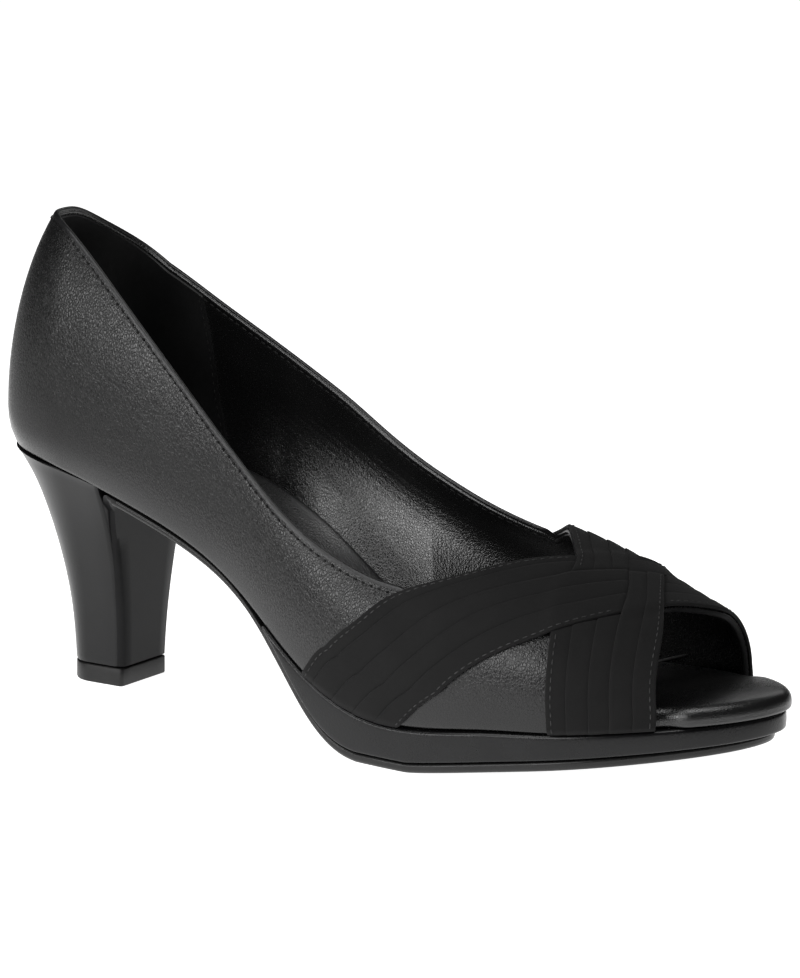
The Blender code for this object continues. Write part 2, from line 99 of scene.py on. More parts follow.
# Edges of each strap: station by share across, from -1 at the strap's own side of the foot to +1 at the
# other side.
OUTER_EDGE = {
    "across": (-1.0, -0.88, -0.75, -0.64, -0.50, -0.40, -0.30,
               -0.20, -0.10, 0.0, 0.15, 0.42, 0.75, 1.0),
    "rear": (0.488, 0.504, 0.529, 0.565, 0.610, 0.657, 0.698,
             0.727, 0.753, 0.772, 0.785, 0.796, 0.803, 0.804),
    "front": (0.624, 0.646, 0.682, 0.728, 0.783, 0.811, 0.835,
              0.853, 0.865, 0.877, 0.894, 0.896, 0.899, 0.904),
}
INNER_EDGE = {
    "across": (-1.0, -0.88, -0.75, -0.64, -0.50, -0.36, -0.20,
               -0.05, 0.065, 0.25, 0.44, 0.60, 0.77, 1.0),
    "rear": (0.484, 0.500, 0.528, 0.563, 0.606, 0.655, 0.694,
             0.731, 0.762, 0.780, 0.794, 0.802, 0.805, 0.806),
    "front": (0.621, 0.641, 0.680, 0.720, 0.757, 0.787, 0.817,
              0.846, 0.867, 0.891, 0.903, 0.908, 0.911, 0.911),
}
# Share across where the two straps' rear edges meet.
THROAT = -0.065

# Margin of the sole pieces outside the feather line, in metres, by station. The last value is for the tip of
# the toe.
MARGIN = {
    "station": (0.00, 0.40, 0.60, 0.75, 0.85, 0.915, 0.94, 1.00),
    "insole": (-.0023, -.0023, -.0023, -.0025, -.0033, -.0046, -.0006, 0.0000),
    "platform": (0.0003, 0.0003, 0.0006, 0.0005, 0.0000, -.0007, -.0010, -.0013),
    "outsole": (-.0003, -.0003, 0.0000, 0.0000, -.0007, -.0018, -.0024, -.0042),
}

# Heel block: half width, back radius and breast station at heights from the toplift to the seat.
HEEL = {
    "height": (0.00, 0.25, 0.50, 0.75, 0.90, 1.00),
    "half_width": (0.0104, 0.0113, 0.0138, 0.0178, 0.0212, 0.0238),
    "back": (0.0084, 0.0098, 0.0128, 0.0176, 0.0218, 0.0262),
    "breast": (0.0374, 0.0379, 0.0385, 0.0391, 0.0395, 0.0398),
}
ARCH = {"station": (0.12, 0.22, 0.34, 0.44, 0.52, 0.62), "raise": (0.0, 0.0025, 0.0065, 0.0070, 0.0040, 0.0)}

Curve = Callable[[np.ndarray], np.ndarray]


def spline(xs: Sequence[float], ys: Sequence[float]) -> Curve:
    """Natural cubic spline through a short table, held flat past its ends.

    Args:
        xs: Rising places.
        ys: Values there.

    Returns:
        A function of an array of places.
    """
    places, values = np.asarray(xs, float), np.asarray(ys, float)
    count = len(places)
    gaps = np.diff(places)
    matrix = np.zeros((count, count))
    right = np.zeros(count)
    matrix[0, 0] = matrix[-1, -1] = 1.0
    for i in range(1, count - 1):
        matrix[i, i - 1:i + 2] = gaps[i - 1], 2 * (gaps[i - 1] + gaps[i]), gaps[i]
        right[i] = 6 * ((values[i + 1] - values[i]) / gaps[i] - (values[i] - values[i - 1]) / gaps[i - 1])
    bend = np.linalg.solve(matrix, right)

    def value(x: np.ndarray) -> np.ndarray:
        """Height of the spline at x."""
        x = np.clip(np.asarray(x, float), places[0], places[-1])
        i = np.clip(np.searchsorted(places, x) - 1, 0, count - 2)
        before, after, width = x - places[i], places[i + 1] - x, gaps[i]
        curve = (bend[i] * after ** 3 + bend[i + 1] * before ** 3) / (6 * width)
        start = (values[i] / width - bend[i] * width / 6) * after
        end = (values[i + 1] / width - bend[i + 1] * width / 6) * before
        return curve + start + end

    return value


def curves(table: dict[str, Sequence[float]], key: str) -> dict[str, Curve]:
    """One spline for each named column of a table."""
    return {name: spline(table[key], column) for name, column in table.items() if name != key}


def bezier(a: np.ndarray, b: np.ndarray, c: np.ndarray, d: np.ndarray, t: np.ndarray) -> np.ndarray:
    """Cubic curve through four handles."""
    return a * (1 - t) ** 3 + 3 * b * (1 - t) ** 2 * t + 3 * c * (1 - t) * t ** 2 + d * t ** 3


def smooth(value: np.ndarray, low: float, high: float) -> np.ndarray:
    """Rise from 0 at low to 1 at high without corners."""
    share = np.clip((np.asarray(value, float) - low) / (high - low), 0, 1)
    return share * share * (3 - 2 * share)


PROFILE_AT = curves(PROFILE, "station")
SECTION_AT = curves(SECTION, "station")
OUTSIDE_AT = curves(COLLAR_OUTSIDE, "station")
INSIDE_AT = curves(COLLAR_INSIDE, "station")
BACK_AT = curves(COLLAR_BACK, "angle")
OUTER_AT = curves(OUTER_EDGE, "across")
INNER_AT = curves(INNER_EDGE, "across")
HEEL_AT = curves(HEEL, "height")
ARCH_AT = curves(ARCH, "station")


def collar_share(station: float, side: int) -> float:
    """Share up the side where the collar lies; side is -1 for the outside and +1 for the inside."""
    table = OUTSIDE_AT if side < 0 else INSIDE_AT
    return float(table["up"](station))


def strap_station(across: np.ndarray, share: np.ndarray, side: int) -> np.ndarray:
    """Station on a strap; share runs from its rear edge to its front edge, side -1 for the outside strap."""
    edge = OUTER_AT if side < 0 else INNER_AT
    rear, front = edge["rear"](-side * across), edge["front"](-side * across)
    return rear + (front - rear) * share


def throat_edge(across: float) -> float:
    """Station of the rim at the throat, where the strap that reaches further back has its rear edge."""
    return min(float(strap_station(across, 0.0, side)) for side in (-1, 1))


def toe_edge(across: float) -> float:
    """Station of the toe opening, where the strap that reaches further forward has its front edge."""
    return max(float(strap_station(across, 1.0, side)) for side in (-1, 1))


class Wall(Enum):
    """The two surfaces of the last: its sides from the heel's centre forward, and the round of the heel."""

    SIDE = "side"
    HEEL = "heel"


class Slot(Enum):
    """The record's material slots."""

    TOPLIFT = "toplift"
    HEEL_COVER = "heel_cover"
    OUTSOLE = "outsole"
    PLATFORM = "platform_wrap"
    SOCK = "sock"
    LEATHER = "upper_leather"
    FABRIC = "strap_fabric"


@dataclass(frozen=True)
class Last:
    """The foot form that every piece is cut from."""

    length: float = 0.2345
    ball_width: float = 0.0790
    instep: float = 0.0800
    heel_seat: float = 0.0647
    heel_offset: float = 0.0020
    low_share: float = 0.25
    heel_station: float = 0.128
    toe_station: float = 0.780
    toe_share: float = 0.10
    flare: float = 0.62
    low_handles: tuple[float, float] = (0.22, 0.62)
    middle: tuple[float, float] = (0.2345 / 2 - 0.00006, -0.00075)

    @property
    def half(self) -> float:
        """Half the ball width."""
        return self.ball_width / 2

    @property
    def heel_centre(self) -> float:
        """Where the round of the heel begins."""
        return self.heel_station * self.length

    @property
    def toe_start(self) -> float:
        """Where the round of the toe begins."""
        return self.toe_station * self.length

    @property
    def toe_offset(self) -> float:
        """How far the toe's axis lies to the inside."""
        return self.toe_share * self.half

    def feather(self, x: np.ndarray) -> np.ndarray:
        """Height of the line where the upper meets the sole."""
        return self.heel_seat * PROFILE_AT["feather"](np.asarray(x) / self.length)

    def ground(self, x: np.ndarray) -> np.ndarray:
        """Height of the outsole's underside."""
        return np.maximum(self.heel_seat * PROFILE_AT["ground"](np.asarray(x) / self.length), 0.0)

    def margin(self, name: str, x: np.ndarray) -> np.ndarray:
        """Margin of a sole piece at a station."""
        return np.interp(np.asarray(x) / self.length, MARGIN["station"], MARGIN[name])

    def outline(self, x: np.ndarray, side: int, name: str) -> np.ndarray:
        """Plan outline of a sole piece.

        Args:
            x: Places along the length.
            side: -1 for the outside, +1 for the inside.
            name: The piece's column in the margins.

        Returns:
            How far across the edge is.
        """
        x = np.asarray(x, float)
        tip, start = MARGIN[name][-1], MARGIN[name][0]
        column = SECTION_AT["feather_outside"] if side < 0 else SECTION_AT["feather_inside"]
        straight = column(x / self.length) * self.half + self.margin(name, x)
        past = np.clip(x - self.toe_start, 0, None) / (self.length + tip - self.toe_start)
        front = self.toe_offset + (side * straight - self.toe_offset) * np.sqrt(np.clip(1 - past ** 2, 0, 1))
        radius = column(self.heel_station) * self.half - side * self.heel_offset + start
        behind = np.clip(self.heel_centre - x, 0, None) / (BACK["feather"] * self.half + start)
        rear = self.heel_offset + side * radius * np.sqrt(np.clip(1 - behind ** 2, 0, 1))
        return np.where(x < self.heel_centre, rear, front)

    def half_width(self, part: str, station: np.ndarray | float, outside: np.ndarray) -> np.ndarray:
        """Half width of the last at its feather or at its widest, on the side asked for."""
        far, near = SECTION_AT[part + "_outside"](station), SECTION_AT[part + "_inside"](station)
        return np.where(outside, far, near) * self.half

    def half_section(self, foot: np.ndarray, wide: np.ndarray, wide_height: np.ndarray, top: np.ndarray,
                     rise: np.ndarray, reach: np.ndarray, ridge: np.ndarray,
                     up: np.ndarray) -> tuple[np.ndarray, np.ndarray]:
        """Side of the last: out from the feather to the widest point, then over to the ridge.

        Args:
            foot: Half width at the feather.
            wide: Half width at the widest point.
            wide_height: Height of the widest point.
            top: Height of the ridge.
            rise: Handle of the upper curve at the widest point, as a share of its height.
            reach: Handle of the upper curve at the ridge, as a share of its width.
            ridge: Where the ridge lies across.
            up: Share of the way from feather to ridge.

        Returns:
            Distance across and height.
        """
        low = np.clip(up / self.low_share, 0, 1)
        high = np.clip((up - self.low_share) / (1 - self.low_share), 0, 1)
        first, second = self.low_handles
        y_low = bezier(foot, foot + self.flare * (wide - foot), wide, wide, low)
        z_low = bezier(0.0 * wide_height, first * wide_height, second * wide_height, wide_height, low)
        y_high = bezier(wide, wide, ridge + reach * (wide - ridge), ridge, high)
        z_high = bezier(wide_height, wide_height + rise * (top - wide_height), top, top, high)
        return np.where(up < self.low_share, y_low, y_high), np.where(up < self.low_share, z_low, z_high)

    def side(self, x: np.ndarray, across: np.ndarray) -> np.ndarray:
        """Points of the sides; across runs from -1 at the outside feather to +1 at the inside feather."""
        s, outside = x / self.length, across < 0
        side = np.where(outside, -1.0, 1.0)
        foot, wide = self.half_width("feather", s, outside), self.half_width("wide", s, outside)
        past = np.clip(x - self.toe_start, 0, None) / (self.length - self.toe_start)
        toe = np.sqrt(np.clip(1 - past ** 2, 0, 1))
        shift = self.toe_offset * side
        foot, wide = shift + (foot - shift) * toe, shift + (wide - shift) * toe
        ridge = SECTION_AT["ridge_side"](s) * self.half * side
        y, z = self.half_section(foot, wide, SECTION_AT["wide_height"](s) * self.instep,
                                 SECTION_AT["ridge_height"](s) * self.instep, SECTION_AT["rise"](s),
                                 SECTION_AT["reach"](s), ridge, 1 - np.abs(across))
        return np.stack([x, side * y, self.feather(x) + z], -1)

    def heel(self, angle: np.ndarray, up: np.ndarray) -> np.ndarray:
        """Points of the round of the heel, by angle in radians: -90 degrees is the outside, 0 the back."""
        c, s = np.cos(angle), np.sin(angle)
        outside, station = s < 0, self.heel_station
        offset = np.where(outside, self.heel_offset, -self.heel_offset)
        reach = {part: self.half_width(part, station, outside) + offset for part in ("feather", "wide")}
        foot = 1 / np.sqrt((s / reach["feather"]) ** 2 + (c / (BACK["feather"] * self.half)) ** 2)
        wide = 1 / np.sqrt((s / reach["wide"]) ** 2 + (c / self.heel_centre) ** 2)
        mixed = {part: SECTION_AT[part](station) * s * s + BACK[part] * c * c
                 for part in ("wide_height", "rise", "reach")}
        base = self.feather(self.heel_centre - foot * c)
        top = SECTION_AT["ridge_height"](station) * self.instep - (base - self.feather(self.heel_centre))
        r, z = self.half_section(foot, wide, mixed["wide_height"] * self.instep, top, mixed["rise"],
                                 mixed["reach"], 0.0 * wide, up)
        # The heel takes over the slope of the sides, so that it runs into them without a corner.
        share = np.where(outside, up - 1, 1 - up)
        step, start = 1e-4, np.full(np.shape(r), self.heel_centre)
        slope = (self.side(start + step, share)[..., 1] - self.side(start, share)[..., 1]) / step
        y = self.heel_offset + r * s - slope * r * c * s ** 6
        return np.stack([self.heel_centre - r * c, y, base + z], -1)

    def point(self, wall: Wall, a: np.ndarray, b: np.ndarray) -> np.ndarray:
        """Points of either surface."""
        return self.side(a, b) if wall is Wall.SIDE else self.heel(a, b)

    def lifted(self, wall: Wall, a: np.ndarray, b: np.ndarray, lift: np.ndarray | float) -> np.ndarray:
        """Points of a surface moved along its outward normal.

        Args:
            wall: Which surface.
            a: Place along the length, or angle round the heel.
            b: Share across, or share up at the heel.
            lift: Distance outwards, negative inwards.

        Returns:
            One point for each pair.
        """
        a, b = np.broadcast_arrays(np.asarray(a, float), np.asarray(b, float))
        step = 1e-5
        along = self.point(wall, a + step, b) - self.point(wall, a - step, b)
        across = self.point(wall, a, b + step) - self.point(wall, a, b - step)
        normal = np.cross(along, across)
        normal /= np.linalg.norm(normal, axis=-1)[..., None]
        outward = 1.0 if wall is Wall.SIDE else -1.0
        return self.point(wall, a, b) + outward * normal * np.asarray(lift, float)[..., None]


LAST = Last()


class Value:
    """A number that varies over a surface, with Python's own arithmetic."""

    def __init__(self, recipe: "Recipe", socket: bpy.types.NodeSocket) -> None:
        """Wraps one output of a recipe's node."""
        self.recipe = recipe
        self.socket = socket

    def _maths(self, operation: str, *terms: "Value | float") -> "Value":
        """One Math node on the given terms."""
        made = self.recipe.node("ShaderNodeMath", {"operation": operation}, dict(enumerate(terms)))
        return Value(self.recipe, made.outputs[0])

    def __add__(self, other: "Value | float") -> "Value":
        """Sum."""
        return self._maths("ADD", self, other)

    __radd__ = __add__

    def __sub__(self, other: "Value | float") -> "Value":
        """Difference."""
        return self._maths("SUBTRACT", self, other)

    def __rsub__(self, other: float) -> "Value":
        """Difference from a plain number."""
        return self._maths("SUBTRACT", other, self)

    def __mul__(self, other: "Value | float") -> "Value":
        """Product."""
        return self._maths("MULTIPLY", self, other)

    __rmul__ = __mul__

    def __truediv__(self, other: "Value | float") -> "Value":
        """Quotient."""
        return self._maths("DIVIDE", self, other)

    def sine(self) -> "Value":
        """Sine of an angle in radians."""
        return self._maths("SINE", self)

    def power(self, exponent: float) -> "Value":
        """The value raised to a plain number."""
        return self._maths("POWER", self, exponent)

    def greatest(self, other: "Value | float") -> "Value":
        """The larger of two."""
        return self._maths("MAXIMUM", self, other)

    def between(self, low: float, high: float) -> "Value":
        """Smooth rise from 0 at low to 1 at high."""
        made = self.recipe.node("ShaderNodeMapRange", {"interpolation_type": "SMOOTHSTEP"},
                                {"Value": self, "From Min": low, "From Max": high})
        return Value(self.recipe, made.outputs[0])


class Recipe:
    """One material's nodes, made through one method."""

    def __init__(self, name: str) -> None:
        """Starts an empty material."""
        self.material = bpy.data.materials.new(name)
        self.material.use_nodes = True
        self.tree = self.material.node_tree
        self.tree.nodes.clear()

    def node(self, kind: str, settings: dict | None = None, sockets: dict | None = None) -> bpy.types.Node:
        """Makes one node.

        Args:
            kind: The node's type.
            settings: Its own settings, which are set first.
            sockets: Values or links of its inputs, by name or number.

        Returns:
            The node.
        """
        made = self.tree.nodes.new(kind)
        for name, value in (settings or {}).items():
            setattr(made, name, value)
        for name, value in (sockets or {}).items():
            if isinstance(value, Value):
                value = value.socket
            if isinstance(value, bpy.types.NodeSocket):
                self.tree.links.new(value, made.inputs[name])
            else:
                made.inputs[name].default_value = value
        return made

    def place(self) -> bpy.types.NodeSocket:
        """Object coordinates, in metres."""
        return self.node("ShaderNodeTexCoord").outputs["Object"]

    def bent(self, size: float, amount: float, squash: Sequence[float]) -> bpy.types.NodeSocket:
        """Object coordinates scaled on each axis, so a pattern runs longer one way, with a wander on top.

        Args:
            size: Size of the wander in metres.
            amount: How far it wanders.
            squash: Scale of each axis.

        Returns:
            The coordinates.
        """
        scaled = self.node("ShaderNodeMapping", None,
                           {"Vector": self.place(), "Scale": tuple(squash)}).outputs[0]
        wander = self.node("ShaderNodeTexNoise", None, {"Vector": scaled, "Scale": 1 / size, "Detail": 1.0})
        return self.node("ShaderNodeVectorMath", {"operation": "MULTIPLY_ADD"},
                         {0: wander.outputs["Color"], 1: (amount,) * 3, 2: scaled}).outputs[0]

    def chart(self) -> tuple[Value, Value]:
        """The piece's own map in metres, along it and across it."""
        made = self.node("ShaderNodeUVMap", {"uv_map": "chart"})
        parts = self.node("ShaderNodeSeparateXYZ", None, {0: made.outputs[0]})
        return Value(self, parts.outputs[0]), Value(self, parts.outputs[1])

    def attribute(self, name: str) -> Value:
        """A number kept on the mesh's points."""
        return Value(self, self.node("ShaderNodeAttribute", {"attribute_name": name}).outputs["Fac"])

    def noise(self, size: float, detail: float = 3.0, rough: float = 0.5, bend: float = 0.0,
              vector: bpy.types.NodeSocket | None = None) -> Value:
        """Cloudy pattern with features of a size in metres."""
        made = self.node("ShaderNodeTexNoise", None,
                         {"Vector": vector or self.place(), "Scale": 1 / size, "Detail": detail,
                          "Roughness": rough, "Distortion": bend})
        return Value(self, made.outputs[0])

    def cells(self, size: float, feature: str = "F1", vector: bpy.types.NodeSocket | None = None) -> Value:
        """Distance in a pattern of cells of a size in metres."""
        made = self.node("ShaderNodeTexVoronoi", {"feature": feature},
                         {"Vector": vector or self.place(), "Scale": 1 / size})
        return Value(self, made.outputs["Distance"])

    def blend(self, factor: Value, first: Sequence[float], second: Sequence[float]) -> bpy.types.NodeSocket:
        """Colour between two, by a factor."""
        made = self.node("ShaderNodeMix", {"data_type": "RGBA"},
                         {0: factor, 6: (*first, 1.0), 7: (*second, 1.0)})
        return made.outputs[2]

    def relief(self, height: Value, depth: float, strength: float = 1.0,
               under: bpy.types.NodeSocket | None = None) -> bpy.types.NodeSocket:
        """Bump from a height of 0 to 1 and its depth in metres, over another bump if one is given."""
        sockets = {"Strength": strength, "Distance": depth, "Height": height}
        if under is not None:
            sockets["Normal"] = under
        return self.node("ShaderNodeBump", None, sockets).outputs[0]

    def finish(self, sockets: dict) -> bpy.types.Material:
        """Adds the shader with its sockets and the output."""
        shader = self.node("ShaderNodeBsdfPrincipled", None, sockets)
        self.node("ShaderNodeOutputMaterial", None, {0: shader.outputs[0]})
        return self.material


@dataclass(frozen=True)
class GrainLeather:
    """Black leather with a pebbled grain drawn out upright, for the upper, its lining and the sock.

    Where the piece has the marks, it is stretched smooth near the sole or swells gently.
    """

    name: str
    dark: tuple[float, float, float] = (0.0026, 0.0026, 0.0028)
    light: tuple[float, float, float] = (0.0058, 0.0057, 0.0058)
    grain: float = 0.00062
    upright: float = 0.6
    depth: float = 0.00011
    roughness: float = 0.23
    shine: float = 0.36
    cloud: float = 0.018
    wave_size: float = 0.028
    wave: float = 0.00030
    stretched: bool = False
    swell: float = 0.0

    def make(self) -> bpy.types.Material:
        """Builds the material."""
        recipe = Recipe(self.name)
        spot = recipe.bent(self.grain * 1.6, self.grain * 1.1, (1.0, 1.0, self.upright))
        pebble = recipe.cells(self.grain, vector=spot)
        crease = recipe.cells(self.grain, "DISTANCE_TO_EDGE", spot).between(0.0, 0.20)
        fine = recipe.noise(self.grain * 0.5, 2.0, 0.6, vector=spot)
        broad = recipe.noise(self.cloud, 3.0, 0.55)
        slow = recipe.noise(self.wave_size, 1.0, 0.4)
        height = (1.0 - pebble) * 0.45 + crease * 0.25 + fine * 0.40
        if self.stretched:
            height = height * (recipe.attribute("stretch") * 0.92 + 0.08)
        under = recipe.relief(slow, self.wave, 0.6)
        if self.swell:
            under = recipe.relief(recipe.attribute("swell"), self.swell, 1.0, under)
        # The colour is darker along the grain's creases, which is painted shade in them, over a tone from
        # the cloud that differs at random.
        colour = recipe.blend((crease * 0.6 + broad * 0.6 - 0.2).between(0.0, 1.0), self.dark, self.light)
        rough = (broad - 0.5) * 0.12 + (1.0 - crease) * 0.10 + self.roughness
        return recipe.finish({"Base Color": colour, "Roughness": rough, "Specular IOR Level": self.shine,
                              "Normal": recipe.relief(height, self.depth, 1.0, under)})


@dataclass(frozen=True)
class SmoothLeather:
    """Black leather of a fine closed grain, for the covers of heel and platform, the grip and the edges."""

    name: str
    dark: tuple[float, float, float] = (0.0028, 0.0028, 0.0030)
    light: tuple[float, float, float] = (0.0052, 0.0052, 0.0056)
    grain: float = 0.0004
    depth: float = 0.00002
    roughness: float = 0.30
    shine: float = 0.38
    cloud: float = 0.014
    wave_size: float = 0.030
    wave: float = 0.00025

    def make(self) -> bpy.types.Material:
        """Builds the material."""
        recipe = Recipe(self.name)
        pebble = recipe.cells(self.grain)
        fine = recipe.noise(self.grain * 0.5, 2.0, 0.6)
        broad = recipe.noise(self.cloud, 3.0, 0.5)
        slow = recipe.noise(self.wave_size, 1.0, 0.4)
        height = (1.0 - pebble) * 0.6 + fine * 0.4
        normal = recipe.relief(height, self.depth, 1.0, recipe.relief(slow, self.wave, 0.6))
        colour = recipe.blend(broad.between(0.3, 0.7), self.dark, self.light)
        rough = (broad - 0.5) * 0.14 + fine * 0.04 + (self.roughness - 0.02)
        return recipe.finish({"Base Color": colour, "Roughness": rough, "Specular IOR Level": self.shine,
                              "Normal": normal})


@dataclass(frozen=True)
class Fabric:
    """Matte black stretch cloth with a fine plain weave that follows the strap."""

    name: str
    dark: tuple[float, float, float] = (0.0046, 0.0046, 0.0047)
    light: tuple[float, float, float] = (0.0092, 0.0090, 0.0090)
    thread: float = 0.00046
    fuzz: float = 0.0004
    cloud: float = 0.010
    depth: float = 0.00004
    roughness: float = 0.86
    shine: float = 0.14
    sheen: float = 0.03

    def make(self) -> bpy.types.Material:
        """Builds the material."""
        recipe = Recipe(self.name)
        along, across = recipe.chart()
        turn = 2 * math.pi / self.thread
        warp, weft = (along * turn).sine(), (across * turn).sine()
        weave = warp * weft * 0.5 + 0.5
        fuzz = recipe.noise(self.fuzz, 2.0, 0.7)
        broad = recipe.noise(self.cloud, 3.0, 0.55)
        height = weave * 0.7 + fuzz * 0.5
        # The tone is lighter where the weave and the fuzz stand up and darker in their hollows, which is
        # painted shade; the cloud varies it at random.
        tone = (weave * 0.35 + broad * 0.55 + fuzz * 0.3 - 0.1).between(0.0, 1.0)
        rough = (fuzz - 0.5) * 0.1 + self.roughness
        return recipe.finish({"Base Color": recipe.blend(tone, self.dark, self.light), "Roughness": rough,
                              "Specular IOR Level": self.shine, "Sheen Weight": self.sheen,
                              "Sheen Roughness": 0.5,
                              "Normal": recipe.relief(height, self.depth)})


@dataclass(frozen=True)
class Rubber:
    """Hard black rubber with fine sanding."""

    name: str
    dark: tuple[float, float, float] = (0.0060, 0.0060, 0.0060)
    light: tuple[float, float, float] = (0.0120, 0.0116, 0.0112)
    grit: float = 0.0006
    cloud: float = 0.012
    scuff: float = 0.004
    depth: float = 0.00003
    roughness: float = 0.40
    shine: float = 0.3

    def make(self) -> bpy.types.Material:
        """Builds the material."""
        recipe = Recipe(self.name)
        grit = recipe.noise(self.grit, 3.0, 0.7)
        broad = recipe.noise(self.cloud, 3.0, 0.6)
        scuff = recipe.cells(self.scuff)
        # The tone is lighter on the raised grit and darker in its pits, which is painted shade; the cloud
        # varies it at random and the scuffs are wear.
        tone = (broad * 0.7 + grit * 0.5 - scuff * 0.2).between(0.3, 0.9)
        rough = grit * 0.2 + (self.roughness - 0.1)
        return recipe.finish({"Base Color": recipe.blend(tone, self.dark, self.light), "Roughness": rough,
                              "Specular IOR Level": self.shine,
                              "Normal": recipe.relief(grit, self.depth)})


@dataclass(frozen=True)
class Thread:
    """Twisted sewing thread."""

    name: str
    dark: tuple[float, float, float] = (0.022, 0.022, 0.022)
    light: tuple[float, float, float] = (0.048, 0.048, 0.048)
    twist: float = 0.0005
    depth: float = 0.00004
    roughness: float = 0.6
    shine: float = 0.15

    def make(self) -> bpy.types.Material:
        """Builds the material."""
        recipe = Recipe(self.name)
        ply = recipe.noise(self.twist, 1.0, 0.5, 0.5)
        # The colour is lighter on the raised twist of the ply and darker in its grooves, which is painted
        # shade.
        return recipe.finish({"Base Color": recipe.blend(ply.between(0.3, 0.7), self.dark, self.light),
                              "Roughness": self.roughness, "Specular IOR Level": self.shine,
                              "Normal": recipe.relief(ply, self.depth)})


class Finishes:
    """Every material of the shoe, made once."""

    def __init__(self) -> None:
        """Makes them all."""
        self.leather = GrainLeather("upper leather", stretched=True).make()
        self.lining = GrainLeather("lining leather", grain=0.00060, upright=0.8, depth=0.00006,
                                   roughness=0.25, shine=0.85, swell=0.014).make()
        self.sock = GrainLeather("sock leather", dark=(0.0030, 0.0030, 0.0032),
                                 light=(0.0062, 0.0062, 0.0064), grain=0.00065, upright=1.0,
                                 depth=0.00005, roughness=0.28, shine=0.60).make()
        # The folded edge is lighter than the upper's leather: painted highlight along the rim.
        self.binding = SmoothLeather("folded leather edge with painted highlight", light=(0.010, 0.010, 0.0105), roughness=0.34,
                                     grain=0.0006, depth=0.00006).make()
        self.cut_edge = SmoothLeather("dyed cut edge", roughness=0.7, shine=0.10).make()
        self.grip = SmoothLeather("heel grip leather", dark=(0.0040, 0.0040, 0.0042),
                                  light=(0.0065, 0.0065, 0.0068), grain=0.0005, depth=0.00003,
                                  roughness=0.55, wave=0.0004).make()
        self.heel = SmoothLeather("heel cover leather", roughness=0.30, grain=0.0005, depth=0.000025,
                                  shine=0.26).make()
        self.breast = SmoothLeather("breast cover leather", roughness=0.34, depth=0.000012,
                                    shine=0.12).make()
        self.platform = SmoothLeather("platform wrap leather", roughness=0.27, grain=0.0006,
                                      depth=0.00004, shine=0.25).make()
        # The welt's pale grey, far lighter than the leathers round it, is painted highlight along the seam.
        self.piping = SmoothLeather("toe seam piping with painted highlight", dark=(0.050, 0.050, 0.050),
                                    light=(0.075, 0.075, 0.075), roughness=0.5).make()
        self.fabric = Fabric("strap fabric").make()
        self.rubber = Rubber("sole rubber", roughness=0.30).make()
        self.toplift = Rubber("toplift rubber", roughness=0.42).make()
        self.grey_thread = Thread("grey thread").make()
        self.dim_thread = Thread("dark grey thread", (0.009, 0.009, 0.009), (0.020, 0.020, 0.020)).make()
        self.black_thread = Thread("black thread", (0.0020, 0.0020, 0.0020),
                                   (0.0050, 0.0050, 0.0050)).make()


def grid_mesh(points: np.ndarray, chart: np.ndarray | None = None, kinds: np.ndarray | None = None,
              marks: dict[str, np.ndarray] | None = None) -> bmesh.types.BMesh:
    """One grid moved onto a table of points, with equal edges merged.

    Args:
        points: Table of columns by rows by three.
        chart: Map of the same table, in metres, if the finish follows the piece.
        kinds: Material number of each face.
        marks: Numbers kept at each point, by the attribute's name.

    Returns:
        The mesh, its faces turned outwards.
    """
    columns, rows = points.shape[:2]
    work = bmesh.new()
    bmesh.ops.create_grid(work, x_segments=columns - 1, y_segments=rows - 1, size=1.0)
    work.verts.index_update()
    steps = columns - 1, rows - 1
    where = [tuple(round((v.co[k] + 1) / 2 * steps[k]) for k in range(2)) for v in work.verts]
    if chart is not None:
        layer = work.loops.layers.uv.new("chart")
        for face in work.faces:
            for loop in face.loops:
                loop[layer].uv = chart[where[loop.vert.index]]
    if kinds is not None:
        for face in work.faces:
            spots = [where[v.index] for v in face.verts]
            face.material_index = int(kinds[min(s[0] for s in spots), min(s[1] for s in spots)])
    for name, numbers in (marks or {}).items():
        mark = work.verts.layers.float.new(name)
        for v in work.verts:
            v[mark] = float(numbers[where[v.index]])
    for v in work.verts:
        v.co = Vector(points[where[v.index]])
    bmesh.ops.remove_doubles(work, verts=work.verts, dist=MERGE)
    bmesh.ops.recalc_face_normals(work, faces=work.faces)
    return work


def close_ends(work: bmesh.types.BMesh) -> None:
    """Fills the open ends of a tube."""
    rim = [edge for edge in work.edges if edge.is_boundary]
    if rim:
        made = bmesh.ops.holes_fill(work, edges=rim, sides=0)
        bmesh.ops.triangulate(work, faces=made["faces"])
    bmesh.ops.recalc_face_normals(work, faces=work.faces)


def add_piece(work: bmesh.types.BMesh, name: str, materials: Sequence[bpy.types.Material],
              nodes: Sequence[str] = (), sharp: float = 50.0) -> bpy.types.Object:
    """Makes an object of a finished mesh and hangs it on the frame.

    Args:
        work: The mesh, in the last's own frame; it is freed.
        name: Name of the piece.
        materials: Its materials, in the order of its face numbers.
        nodes: Solids that the piece stands for.
        sharp: Angle in degrees above which an edge stays sharp.

    Returns:
        The object.
    """
    bmesh.ops.translate(work, verts=work.verts, vec=(-LAST.middle[0], -LAST.middle[1], 0.0))
    mesh = bpy.data.meshes.new(name)
    work.to_mesh(mesh)
    work.free()
    for material in materials:
        mesh.materials.append(material)
    mesh.polygons.foreach_set("use_smooth", [True] * len(mesh.polygons))
    mesh.set_sharp_from_angle(angle=math.radians(sharp))
    mesh.update()
    piece = bpy.data.objects.new(name, mesh)
    bpy.context.scene.collection.objects.link(piece)
    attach(piece, BODY)
    if nodes:
        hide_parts(*nodes)
    log.info("%s: %d faces", name, len(mesh.polygons))
    return piece


